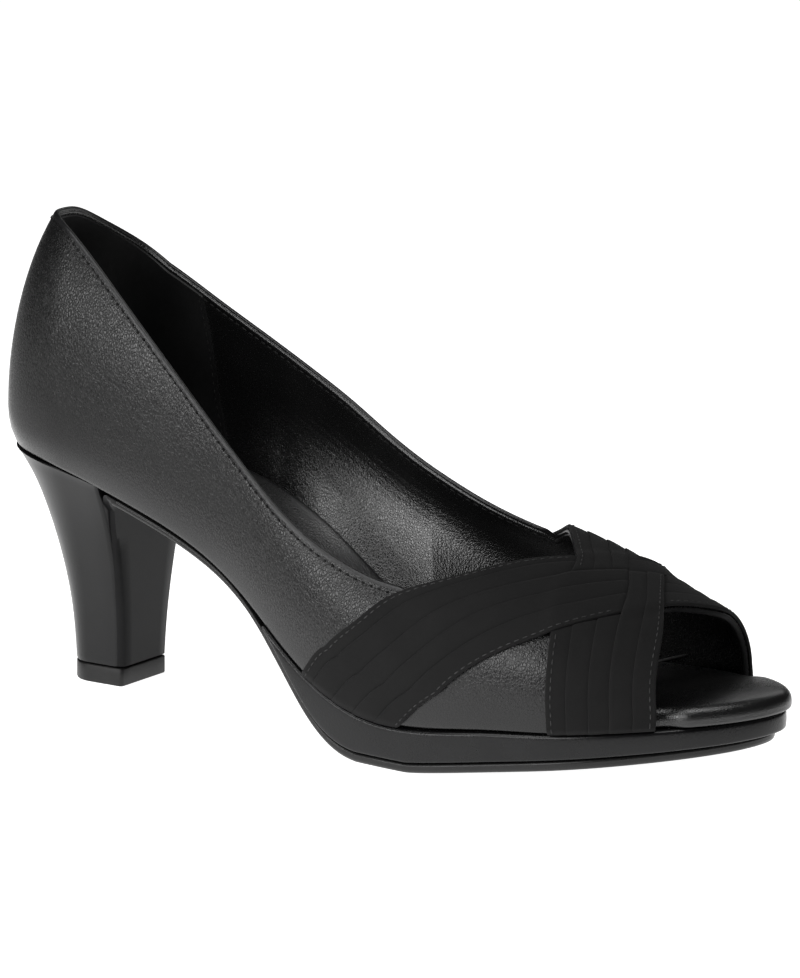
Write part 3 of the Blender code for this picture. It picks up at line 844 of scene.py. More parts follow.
def walked_along(line: np.ndarray) -> np.ndarray:
    """Distance walked to each point of a polyline, or of several that run side by side."""
    steps = np.linalg.norm(np.diff(line, axis=0), axis=-1)
    return np.concatenate([np.zeros_like(steps[:1]), np.cumsum(steps, axis=0)])


def spaced(line: np.ndarray, pitch: float, phase: float = 0.5) -> np.ndarray:
    """Places along a polyline, as shares of its points, at an even pitch.

    Args:
        line: Points in order.
        pitch: Distance between places.
        phase: Share of a pitch before the first place.

    Returns:
        Fractional point numbers.
    """
    walked = walked_along(line)
    count = max(int(walked[-1] / pitch), 1)
    places = (np.arange(count) + phase) * walked[-1] / count
    return np.interp(places, walked, np.arange(len(line)))


def at_places(line: np.ndarray, places: np.ndarray) -> np.ndarray:
    """Points of a polyline at fractional point numbers."""
    numbers = np.arange(len(line))
    return np.stack([np.interp(places, numbers, line[:, k]) for k in range(3)], -1)


@dataclass(frozen=True)
class StitchRow:
    """A row of single stitches along a line."""

    pitch: float
    length: float
    radius: float
    sunk: float = 0.3
    phase: float = 0.5
    sight: float = 0.4

    def sew(self, work: bmesh.types.BMesh, line: np.ndarray, above: np.ndarray) -> None:
        """Adds one small rounded stitch at each place.

        Args:
            work: Mesh that takes the stitches.
            line: Points on the surface, in order.
            above: The same points a little way out from the surface.
        """
        places = spaced(line, self.pitch, self.phase)
        centres = at_places(line, places)
        ahead = at_places(line, np.minimum(places + self.sight, len(line) - 1))
        behind = at_places(line, np.maximum(places - self.sight, 0))
        outs = at_places(above, places) - centres
        for centre, tangent, out in zip(centres, ahead - behind, outs):
            tangent, out = Vector(tangent).normalized(), Vector(out).normalized()
            side = out.cross(tangent).normalized()
            out = tangent.cross(side)
            axes = Matrix((tangent * self.length / 2, side * self.radius, out * self.radius))
            matrix = axes.transposed().to_4x4()
            matrix.translation = Vector(centre) + out * self.radius * (1 - 2 * self.sunk)
            bmesh.ops.create_uvsphere(work, u_segments=6, v_segments=4, radius=1.0,
                                      matrix=matrix @ Matrix.Rotation(math.pi / 2, 4, "Y"))


@dataclass(frozen=True)
class Cut:
    """One line on the last, from a top edge down to a foot edge."""

    wall: Wall
    top: tuple[float, float]
    foot: tuple[float, float]

    def at(self, share: np.ndarray) -> tuple[np.ndarray, np.ndarray]:
        """Both coordinates on the last at shares of the way down."""
        first, second = (top + (foot - top) * share for top, foot in zip(self.top, self.foot))
        return first, second

    def walk(self, distances: Callable[[float], np.ndarray],
             lifts: np.ndarray) -> tuple[np.ndarray, np.ndarray]:
        """Points of the line at distances from its top.

        Args:
            distances: Gives the distances when told the line's length.
            lifts: How far each point stands off the last.

        Returns:
            The points, and each one's distance from the foot edge.
        """
        shares = np.linspace(0, 1, 90)
        walked = walked_along(LAST.point(self.wall, *self.at(shares)))
        wanted = np.clip(distances(walked[-1]), 0, walked[-1])
        first, second = self.at(np.interp(wanted, walked, shares))
        return LAST.lifted(self.wall, first, second, lifts), walked[-1] - wanted


@dataclass
class Upper:
    """One shell of leather and lining with a folded topline, open at collar, toe and underneath."""

    finishes: Finishes
    wall: float = 0.0018
    heel_sweep: float = 88.0
    collar_end: dict[int, tuple[float, float]] = field(
        default_factory=lambda: {-1: (0.622, -0.473), 1: (0.655, 0.36)})
    stretch: tuple[float, float] = (0.012, 0.018)
    cup: tuple[float, float] = (0.028, 0.046)
    stitch_down: float = 0.0024
    stitch_end: dict[int, float] = field(default_factory=lambda: {-1: 0.617, 1: 0.640})
    grip_top: float = 0.181
    grip_foot: float = 0.232
    grip_thick: float = 0.0005
    grip_sweep: float = 86.0
    grip_edge: float = 0.0002
    grip_seam: float = 0.006
    welt: float = 0.00042
    welt_station: tuple[float, float] = (0.744, 0.067)
    welt_across: tuple[float, float] = (0.95, 0.156)

    def side_cut(self, station: float, side: int, foot: float | None = None) -> Cut:
        """Cut from the collar down one side, straight unless it has a station of its own at the foot."""
        top = station * LAST.length, side * (1 - collar_share(station, side))
        return Cut(Wall.SIDE, top, ((station if foot is None else foot) * LAST.length, float(side)))

    def heel_cut(self, angle: float) -> Cut:
        """Cut from the collar down the round of the heel."""
        return Cut(Wall.HEEL, (angle, float(BACK_AT["up"](math.degrees(angle)))), (angle, 0.0))

    def heel_cuts(self, start: float, end: float, count: int) -> list[Cut]:
        """Cuts round the heel from one angle to another, in degrees."""
        return [self.heel_cut(angle) for angle in np.radians(np.linspace(start, end, count))]

    def cuts(self) -> list[Cut]:
        """Every cut round the shoe: back, outside, vamp, inside, and back again."""
        outside = np.linspace(LAST.heel_station, self.collar_end[-1][0], 78)[:-1]
        inside = np.linspace(LAST.heel_station, self.collar_end[1][0], 82)[:-1]
        halves = {}
        for side in (-1, 1):
            station, across = self.collar_end[side]
            path = [(s * LAST.length, float(side)) for s in np.linspace(station, toe_edge(side), 24)[:-1]]
            path += [(toe_edge(v) * LAST.length, v) for v in np.linspace(side, THROAT, 24)]
            halves[side] = [Cut(Wall.SIDE, (throat_edge(v) * LAST.length, v), foot)
                            for v, foot in zip(np.linspace(across, THROAT, 47), path)]
        made = self.heel_cuts(0, -self.heel_sweep, 27) + [self.side_cut(s, -1) for s in outside]
        made += halves[-1] + halves[1][:-1][::-1]
        made += [self.side_cut(s, 1) for s in inside[::-1]]
        return made + self.heel_cuts(0, self.heel_sweep, 27)[::-1]

    def rows(self) -> tuple[Callable[[float], np.ndarray], np.ndarray, np.ndarray]:
        """The ring of rows down the outside, over the foot edge, up the lining and over the topline.

        Returns:
            Distances from the top for a line's length, lifts off the last, and each row's kind:
            0 leather, 1 folded edge, 2 lining, 3 cut edge.
        """
        top_out = [(0.00, -0.55, 1), (0.07, -0.28, 1), (0.27, -0.06, 1), (0.55, 0.05, 1), (0.95, 0.07, 1),
                   (1.45, 0.05, 0), (1.95, 0.03, 0), (2.20, -0.01, 0), (2.40, -0.05, 0), (2.60, -0.03, 0),
                   (2.90, 0.00, 0), (3.60, 0.00, 0), (4.80, 0.00, 0)]
        foot_out = [(1.60, 0.00, 0), (0.80, -0.02, 0), (0.35, -0.12, 0), (0.08, -0.40, 3), (0.0, -0.90, 3)]
        foot_in = [(0.08, -1.40, 3), (0.35, -1.70, 3), (0.80, -1.80, 2), (1.60, -1.80, 2)]
        top_in = [(4.80, -1.80, 2), (3.40, -1.80, 2), (2.70, -1.76, 2), (2.40, -1.66, 2), (2.10, -1.76, 2),
                  (1.60, -1.78, 2), (1.15, -1.74, 2), (0.82, -1.60, 2), (0.70, -1.38, 2), (0.74, -1.20, 2),
                  (0.62, -1.08, 1), (0.34, -1.06, 1), (0.08, -0.86, 1), (0.00, -0.55, 1)]
        foot = foot_out + foot_in
        body_out, body_in = np.linspace(0, 1, 20)[1:-1], np.linspace(1, 0, 18)[1:-1]
        near, far = top_out[-1][0] * MM, foot_out[0][0] * MM
        lifts = [r[1] for r in top_out] + [0.0] * len(body_out) + [r[1] for r in foot]
        lifts += [top_in[0][1]] * len(body_in) + [r[1] for r in top_in]
        kinds = [r[2] for r in top_out] + [0] * len(body_out) + [r[2] for r in foot]
        kinds += [2] * len(body_in) + [r[2] for r in top_in]

        def distances(length: float) -> np.ndarray:
            """Distance of each row from the top edge."""
            body = length - near - far
            tops = [r[0] * MM for r in top_out] + [near + body * share for share in body_out]
            feet = [length - r[0] * MM for r in foot] + [near + body * share for share in body_in]
            return np.array(tops + feet + [r[0] * MM for r in top_in])

        return distances, np.array(lifts) * MM, np.array(kinds)

    def swell(self, station: np.ndarray, away: np.ndarray) -> np.ndarray:
        """How far a bump swells the lining's shading towards the sole at the waist, so that it catches the
        light from above; the mesh itself is not cupped.
        """
        reach = np.interp(station, (0.30, 0.50), self.cup)
        along = smooth(station, 0.14, 0.36) * (1 - smooth(station, 0.50, 0.76))
        return (1 - smooth(away / reach, 0.0, 1.0)) * along * reach / self.cup[1]

    def build_shell(self) -> None:
        """The shell itself."""
        distances, lifts, kinds = self.rows()
        walked = [cut.walk(distances, lifts) for cut in self.cuts()]
        points = np.array([w[0] for w in walked])
        points = np.concatenate([points, points[:1]])
        away = np.array([w[1] for w in walked + walked[:1]])
        station = points[..., 0] / LAST.length
        reach = self.stretch[0] + self.stretch[1] * (1 - smooth(station, 0.08, 0.28))
        marks = {"stretch": smooth(away / reach, 0.2, 1.0), "swell": self.swell(station, away)}
        faces = np.repeat(kinds[None, :-1], len(points) - 1, axis=0)
        work = grid_mesh(points, None, faces, marks)
        looks = self.finishes
        add_piece(work, "upper_shell", (looks.leather, looks.binding, looks.lining, looks.cut_edge),
                  ("upper",))

    def build_grip(self) -> None:
        """Heel grip: a thin pocket of soft leather sewn to the lining round the heel."""
        share = np.linspace(0, 1, 15)
        tops = LAST.heel_station + (self.grip_top - LAST.heel_station) * share
        feet = LAST.heel_station + (self.grip_foot - LAST.heel_station) * share
        wings = {side: [self.side_cut(top, side, foot) for top, foot in zip(tops, feet)]
                 for side in (-1, 1)}
        ring = wings[-1][::-1] + self.heel_cuts(-self.grip_sweep, self.grip_sweep, 41) + wings[1]
        inner, outer = -(self.wall + self.grip_thick), -(self.wall - 0.0001)
        down = np.linspace(0, 1, 26)
        rim = [outer, outer - self.grip_edge]
        lifts = np.array(rim + [inner] * len(down) + rim[::-1])
        flat = np.full(len(lifts), outer)

        def distances(length: float) -> np.ndarray:
            """From just under the topline to the sock."""
            first, last = 0.0020, length - 0.0008
            body = first + (last - first) * down
            return np.concatenate([[first - self.grip_edge] * 2, body, [last + self.grip_edge] * 2])

        face = np.array([cut.walk(distances, lifts)[0] for cut in ring])
        under = np.array([cut.walk(distances, flat)[0] for cut in ring])
        face = np.concatenate([under[:1], face, under[-1:]])
        under = np.concatenate([under[:1], under, under[-1:]])
        work = grid_mesh(np.concatenate([face, under[:, ::-1], face[:, :1]], axis=1))
        close_ends(work)
        add_piece(work, "heel_grip", (self.finishes.grip,))

    def collar_cuts(self) -> list[Cut]:
        """Cuts under the leather part of the topline, from the outside strap round to the inside one."""
        outside = np.linspace(self.stitch_end[-1], LAST.heel_station, 72)
        inside = np.linspace(LAST.heel_station, self.stitch_end[1], 76)
        made = [self.side_cut(s, -1) for s in outside]
        made += self.heel_cuts(-self.heel_sweep, self.heel_sweep, 50)
        return made + [self.side_cut(s, 1) for s in inside]

    def build_topline_rows(self) -> None:
        """Stitch holes and sunk stitches under the topline, and a row inside it."""
        inside = -(self.wall - 0.00012)
        black, dim = self.finishes.black_thread, self.finishes.dim_thread
        rows = (("topline_holes", StitchRow(0.0025, 0.0010, 0.00034, 0.40, 0.0), -0.00004, 0.001, black),
                ("topline_stitches", StitchRow(0.0025, 0.0017, 0.00014, 0.50), -0.00005, 0.001, dim),
                ("inside_topline_stitches", StitchRow(0.0025, 0.0018, 0.00017, 0.30), inside, -0.001, dim))
        for name, row, lift, out, thread in rows:
            work = bmesh.new()
            spots = np.array([
                cut.walk(lambda length: np.full(2, self.stitch_down), np.array([lift, lift + out]))[0]
                for cut in self.collar_cuts()])
            row.sew(work, spots[:, 0], spots[:, 1])
            add_piece(work, name, (thread,))

    def build_grip_seams(self) -> None:
        """The upright seam near each front edge of the heel grip."""
        work = bmesh.new()
        row = StitchRow(0.0022, 0.0014, 0.00016, 0.25)
        count = 40
        depth = self.wall + self.grip_thick

        def distances(length: float) -> np.ndarray:
            """Down the seam."""
            return np.linspace(0.003, length - 0.004, count)

        for side in (-1, 1):
            cut = self.side_cut(self.grip_top - self.grip_seam, side, self.grip_foot - self.grip_seam)
            line, _ = cut.walk(distances, np.full(count, -depth))
            above, _ = cut.walk(distances, np.full(count, -depth - 0.001))
            row.sew(work, line, above)
        add_piece(work, "grip_stitches", (self.finishes.dim_thread,))

    def build_toe_seam(self) -> None:
        """Thin welt where the toe's lining is joined, inside the opening."""
        share = np.linspace(0, 1, 26)
        places = (self.welt_station[0] + self.welt_station[1] * share) * LAST.length
        across = self.welt_across[0] - self.welt_across[1] * share ** 0.9
        turns = np.radians(np.linspace(0, 360, 9))
        radius = self.welt * np.sqrt(np.clip(1 - (2 * share - 1) ** 6, 0.02, 1))
        for side, name in ((1, "toe_seam_inside"), (-1, "toe_seam_outside")):
            middle = LAST.lifted(Wall.SIDE, places, side * across, -(self.wall + 0.0005))
            out = LAST.lifted(Wall.SIDE, places, side * across, -(self.wall + 0.0015)) - middle
            out /= np.linalg.norm(out, axis=1)[:, None]
            along = np.gradient(middle, axis=0)
            along /= np.linalg.norm(along, axis=1)[:, None]
            beside = np.cross(out, along)
            rings = [middle + radius[:, None] * (math.cos(t) * out + math.sin(t) * beside) for t in turns]
            work = grid_mesh(np.stack(rings, axis=1))
            close_ends(work)
            add_piece(work, name, (self.finishes.piping,))

    def build(self) -> None:
        """Everything of the upper but the straps."""
        self.build_shell()
        self.build_grip()
        self.build_topline_rows()
        self.build_grip_seams()
        self.build_toe_seam()


@dataclass(frozen=True)
class Run:
    """One visible run of a strap: a half of its width between two places where it dips or ends.

    Side is -1 for the outside strap. Start and end are the other strap's shares where the run dips under it,
    or none at the sole. Over is the stretch of the other strap's shares that the run lies on.
    """

    node: str
    side: int
    strips: tuple[int, int]
    start: float | None
    end: float | None
    over: tuple[float, float] | None


@dataclass
class Straps:
    """Two pleated straps woven through each other, each of five folded strips."""

    finishes: Finishes
    folds: dict[int, tuple[float, ...]] = field(default_factory=lambda: {
        -1: (0.0, 0.12, 0.33, 0.55, 0.77, 1.0), 1: (0.0, 0.20, 0.41, 0.60, 0.81, 1.0)})
    base: float = 0.00022
    low: float = 0.00104
    high: float = 0.00138
    raised: float = 0.00062
    tuck: float = 0.036
    tucked_height: float = 0.35
    foot_height: float = 0.42
    stitch_in: float = 0.0012

    def runs(self) -> list[Run]:
        """The eight visible runs of the four halves."""
        outer, inner = -1, 1
        middle_out, middle_in = self.folds[outer][2], self.folds[inner][3]
        return [
            Run("outer_strap_rear_start", outer, (0, 2), None, 0.0, None),
            Run("outer_strap_rear_end", outer, (0, 2), middle_in, None, (middle_in, 1.0)),
            Run("outer_strap_front_start", outer, (2, 5), None, middle_in, (0.0, middle_in)),
            Run("outer_strap_front_end", outer, (2, 5), 1.0, None, None),
            Run("inner_strap_rear_start", inner, (0, 3), None, middle_out, (0.0, middle_out)),
            Run("inner_strap_rear_end", inner, (0, 3), 1.0, None, None),
            Run("inner_strap_front_start", inner, (3, 5), None, 0.0, None),
            Run("inner_strap_front_end", inner, (3, 5), middle_out, None, (middle_out, 1.0)),
        ]

    def other_share(self, across: np.ndarray, station: np.ndarray, side: int) -> np.ndarray:
        """The other strap's share at a place."""
        rear = strap_station(across, 0.0, -side)
        front = strap_station(across, 1.0, -side)
        return (station - rear) / (front - rear)

    def crossing(self, share: np.ndarray, side: int, line: float) -> np.ndarray:
        """Share across where lines of one strap meet a line of the other."""
        low, high = np.full(np.shape(share), -1.0), np.full(np.shape(share), 1.0)
        for _ in range(40):
            middle = (low + high) / 2
            gap = (strap_station(middle, share, side) - strap_station(middle, line, -side)) * -side
            low, high = np.where(gap < 0, middle, low), np.where(gap < 0, high, middle)
        return (low + high) / 2

    def profile(self, run: Run) -> np.ndarray:
        """Rows across a run's top, from its rear edge to its front edge.

        Args:
            run: The run.

        Returns:
            Rows of share, offset in metres towards the front, and lift off the last.
        """
        low, high, base = self.low, self.high, self.base
        folds = self.folds[run.side]
        rows: list[tuple[float, float, float]] = []
        first, last = run.strips
        for strip in range(first, last):
            edge, width = folds[strip], folds[strip + 1] - folds[strip]
            if strip == first:
                rows += [(edge, 0.00002, base), (edge, -0.00016, base + 0.00025),
                         (edge, -0.00018, high - 0.00040), (edge, -0.00008, high - 0.00014)]
            else:
                rows += [(edge, -0.00012, low - 0.00010), (edge, -0.00020, low + 0.00002),
                         (edge, -0.00022, high - 0.00016), (edge, -0.00012, high - 0.00005)]
            rows += [(edge, 0.00010, high)]
            for share in (0.14, 0.36, 0.62, 0.86):
                rows.append((edge + width * share, 0.0, high - (high - low) * share ** 1.6))
        if last == len(folds) - 1:
            rows += [(1.0, -0.0005, low + 0.00006), (1.0, -0.00016, low + 0.00002),
                     (1.0, 0.00004, low - 0.00018), (1.0, 0.00006, low - 0.00045), (1.0, 0.00000, base)]
        else:
            rows += [(folds[last], 0.0, low - 0.00012), (folds[last], 0.0007, low - 0.0003),
                     (folds[last], 0.0007, base)]
        return np.array(rows)

    def sink(self, height: np.ndarray, lowest: float, free: np.ndarray) -> np.ndarray:
        """Heights brought down to a lowest share of themselves where the strap isn't free."""
        return self.base + (height - self.base) * (lowest + (1 - lowest) * free)

    def lay(self, run: Run, rows: np.ndarray, columns: int) -> tuple[np.ndarray, np.ndarray]:
        """Places rows of a run on the last.

        Args:
            run: The run.
            rows: Shares, offsets and lifts.
            columns: How many columns along the run.

        Returns:
            Points as columns by rows, and their map along and across the strap in metres.
        """
        side = run.side
        share, offset, lift = rows.T
        ends = []
        for line, foot in ((run.start, 0.999 * side), (run.end, -0.999 * side)):
            ends.append(np.full(len(share), foot) if line is None else self.crossing(share, side, line))
        # The tucked ends run on under the strap that covers them, by a share of the way across.
        start = ends[0] + (side * self.tuck if run.start is not None else 0.0)
        end = ends[1] - (side * self.tuck if run.end is not None else 0.0)
        t = np.linspace(0, 1, columns)[:, None]
        across = start[None] + (end - start)[None] * t
        width = (strap_station(across, 1.0, side) - strap_station(across, 0.0, side)) * LAST.length
        station = strap_station(across, share[None], side) + offset[None] / LAST.length
        other = self.other_share(across, station, side)
        height = np.broadcast_to(lift[None], across.shape).copy()
        if run.over:
            first, last = run.over
            up = smooth(other, first - 0.14, first + 0.01) * (1 - smooth(other, last - 0.01, last + 0.14))
            height += self.raised * up
        for line, sign in ((run.start, 1.0), (run.end, -1.0)):
            if line is not None:
                free = smooth((other - line) * sign, -0.06, 0.045)
                height = self.sink(height, self.tucked_height, free)
            else:
                sunk = self.sink(height, self.foot_height, smooth(1 - np.abs(across), 0.0, 0.06))
                height = np.where(across * side * sign > 0, sunk, height)
        points = LAST.lifted(Wall.SIDE, station * LAST.length, across, height)
        walked = walked_along(points).mean(axis=1, keepdims=True)
        along = np.repeat(walked, across.shape[1], axis=1)
        chart = np.stack([along, share[None] * width.mean() + offset[None] + 0 * across], -1)
        return points, chart

    def build_run(self, run: Run) -> None:
        """One run with its folded strips, closed underneath."""
        top = self.profile(run)
        first, last = (self.folds[run.side][strip] for strip in run.strips)
        under = np.array([(share, 0.0, self.base) for share in np.linspace(last, first, 7)[1:-1]])
        rows = np.concatenate([top, under, top[:1]])
        points, chart = self.lay(run, rows, 84 if run.start is None else 72)
        work = grid_mesh(points, chart)
        close_ends(work)
        add_piece(work, run.node + "_pleats", (self.finishes.fabric,), (run.node,), sharp=75.0)

    def build_stitches(self) -> None:
        """Grey stitches along both edges of each strap."""
        work = bmesh.new()
        row = StitchRow(0.0022, 0.0015, 0.00016, 0.35)
        for run in self.runs():
            edges = []
            if run.strips[0] == 0:
                edges.append((0.0, self.stitch_in, self.high - 0.00004))
            if run.strips[1] == len(self.folds[run.side]) - 1:
                edges.append((1.0, -self.stitch_in, self.low + 0.00008))
            for share, offset, lift in edges:
                rows = np.array([(share, offset, lift), (share, offset, lift + 0.001)])
                points, _ = self.lay(run, rows, 90)
                keep = slice(2 if run.start is None else 6, -2 if run.end is None else -6)
                row.sew(work, points[keep, 0], points[keep, 1])
        add_piece(work, "strap_stitches", (self.finishes.grey_thread,))

    def build(self) -> None:
        """All runs and their stitches."""
        for run in self.runs():
            self.build_run(run)
        self.build_stitches()


@dataclass(frozen=True)
class Slab:
    """A flat sole piece with rounded edges all round, made as one grid round its outline."""

    margin: str
    start: float
    edge_top: float
    edge_bottom: float
    top: Callable[[np.ndarray, np.ndarray], np.ndarray]
    bottom: Callable[[np.ndarray, np.ndarray], np.ndarray]
    bulge: float = 0.0
    crown: float = 0.0
    crown_width: float = 0.011

    def drop(self, plan: np.ndarray, loop: np.ndarray) -> np.ndarray:
        """How far the top falls towards its rim at the toe."""
        away = np.linalg.norm(plan - loop, axis=1)
        toe = smooth(plan[:, 0] / LAST.length, 0.76, 0.90)
        return self.crown * toe * np.clip(1 - away / self.crown_width, 0, 1) ** 2

    def loop(self) -> np.ndarray:
        """Points round the outline, outside to the toe and back inside, the first repeated last."""
        reach = LAST.length + MARGIN[self.margin][-1] - LAST.toe_start
        depth = BACK["feather"] * LAST.half + MARGIN[self.margin][0]
        stations = []
        begin = self.start
        if self.start <= 0:
            stations += [LAST.heel_centre - depth * math.cos(a) for a in np.radians(np.linspace(0, 86, 24))]
            begin = LAST.heel_centre
        stations += list(np.linspace(begin, LAST.toe_start, 90))
        stations += [LAST.toe_start + reach * math.sin(a) for a in np.radians(np.linspace(3, 90, 40))]
        xs = np.array(stations)
        out = np.stack([xs, LAST.outline(xs, -1, self.margin)], -1)
        back = np.stack([xs, LAST.outline(xs, 1, self.margin)], -1)[::-1][1:]
        if self.start <= 0:
            back = back[:-1]
            return np.concatenate([out, back, out[:1]])
        blunt = np.linspace(back[-1, 1], out[0, 1], 14)[1:-1]
        closing = np.stack([np.full(len(blunt), self.start), blunt], -1)
        return np.concatenate([out, back, closing, out[:1]])

    def mesh(self) -> bmesh.types.BMesh:
        """The slab's mesh."""
        loop = self.loop()
        inner = loop[:-1]
        tangent = np.roll(inner, -1, 0) - np.roll(inner, 1, 0)
        tangent /= np.linalg.norm(tangent, axis=1)[:, None]
        inward = np.stack([-tangent[:, 1], tangent[:, 0]], -1)
        inward = np.concatenate([inward, inward[:1]])
        # The rings of points close on a line down the middle, which ends short of heel and toe.
        rear = 0.020 if self.start <= 0 else self.start + 0.004
        spine_x = np.clip(loop[:, 0], rear, LAST.length + MARGIN[self.margin][-1] - 0.026)
        middle = (LAST.outline(spine_x, -1, self.margin) + LAST.outline(spine_x, 1, self.margin)) / 2
        spine = np.stack([spine_x, middle], -1)
        edge_x = np.clip(loop[:, 0], 1e-4, None)
        height = self.top(edge_x, 0 * edge_x) - self.bottom(edge_x, 0 * edge_x)
        scale = np.clip(height * 0.48 / max(self.edge_top, self.edge_bottom), 0.02, 1.0)
        table = []

        def place(plan: np.ndarray, upper: bool, shift: np.ndarray) -> None:
            """Adds one row at the top or bottom face moved up by shift."""
            x = plan[:, 0]
            left, right = (LAST.outline(x, side, self.margin) for side in (-1, 1))
            share = (plan[:, 1] - (left + right) / 2) / np.maximum((right - left) / 2, 1e-4)
            share = np.clip(share, -1, 1)
            height = self.top(x, share) - self.drop(plan, loop) if upper else self.bottom(x, share)
            table.append(np.column_stack([plan, height + shift]))

        for share in (1.0, 0.7, 0.4, 0.15):
            start = loop + inward * (self.edge_bottom * scale)[:, None]
            place(start + (spine - start) * share, False, 0 * edge_x)
        for a in np.radians((0, 30, 60, 90)):
            radius = self.edge_bottom * scale
            plan = loop + inward * (radius * (1 - math.sin(a)))[:, None]
            place(plan, False, radius * (1 - math.cos(a)))
        low = table[-1][:, 2]
        high = self.top(edge_x, 0 * edge_x) - self.drop(loop, loop) - self.edge_top * scale
        for share in (0.1, 0.5, 0.9):
            plan = loop - inward * self.bulge * math.sin(math.pi * share)
            table.append(np.column_stack([plan, low + (high - low) * share]))
        for a in np.radians((90, 72, 54, 36, 18, 0)):
            radius = self.edge_top * scale
            plan = loop + inward * (radius * (1 - math.sin(a)))[:, None]
            place(plan, True, -radius * (1 - math.cos(a)))
        for share in (0.03, 0.07, 0.12, 0.18, 0.26, 0.4, 0.7, 1.0):
            start = loop + inward * (self.edge_top * scale)[:, None]
            place(start + (spine - start) * share, True, 0 * edge_x)
        return grid_mesh(np.stack(table, axis=1))


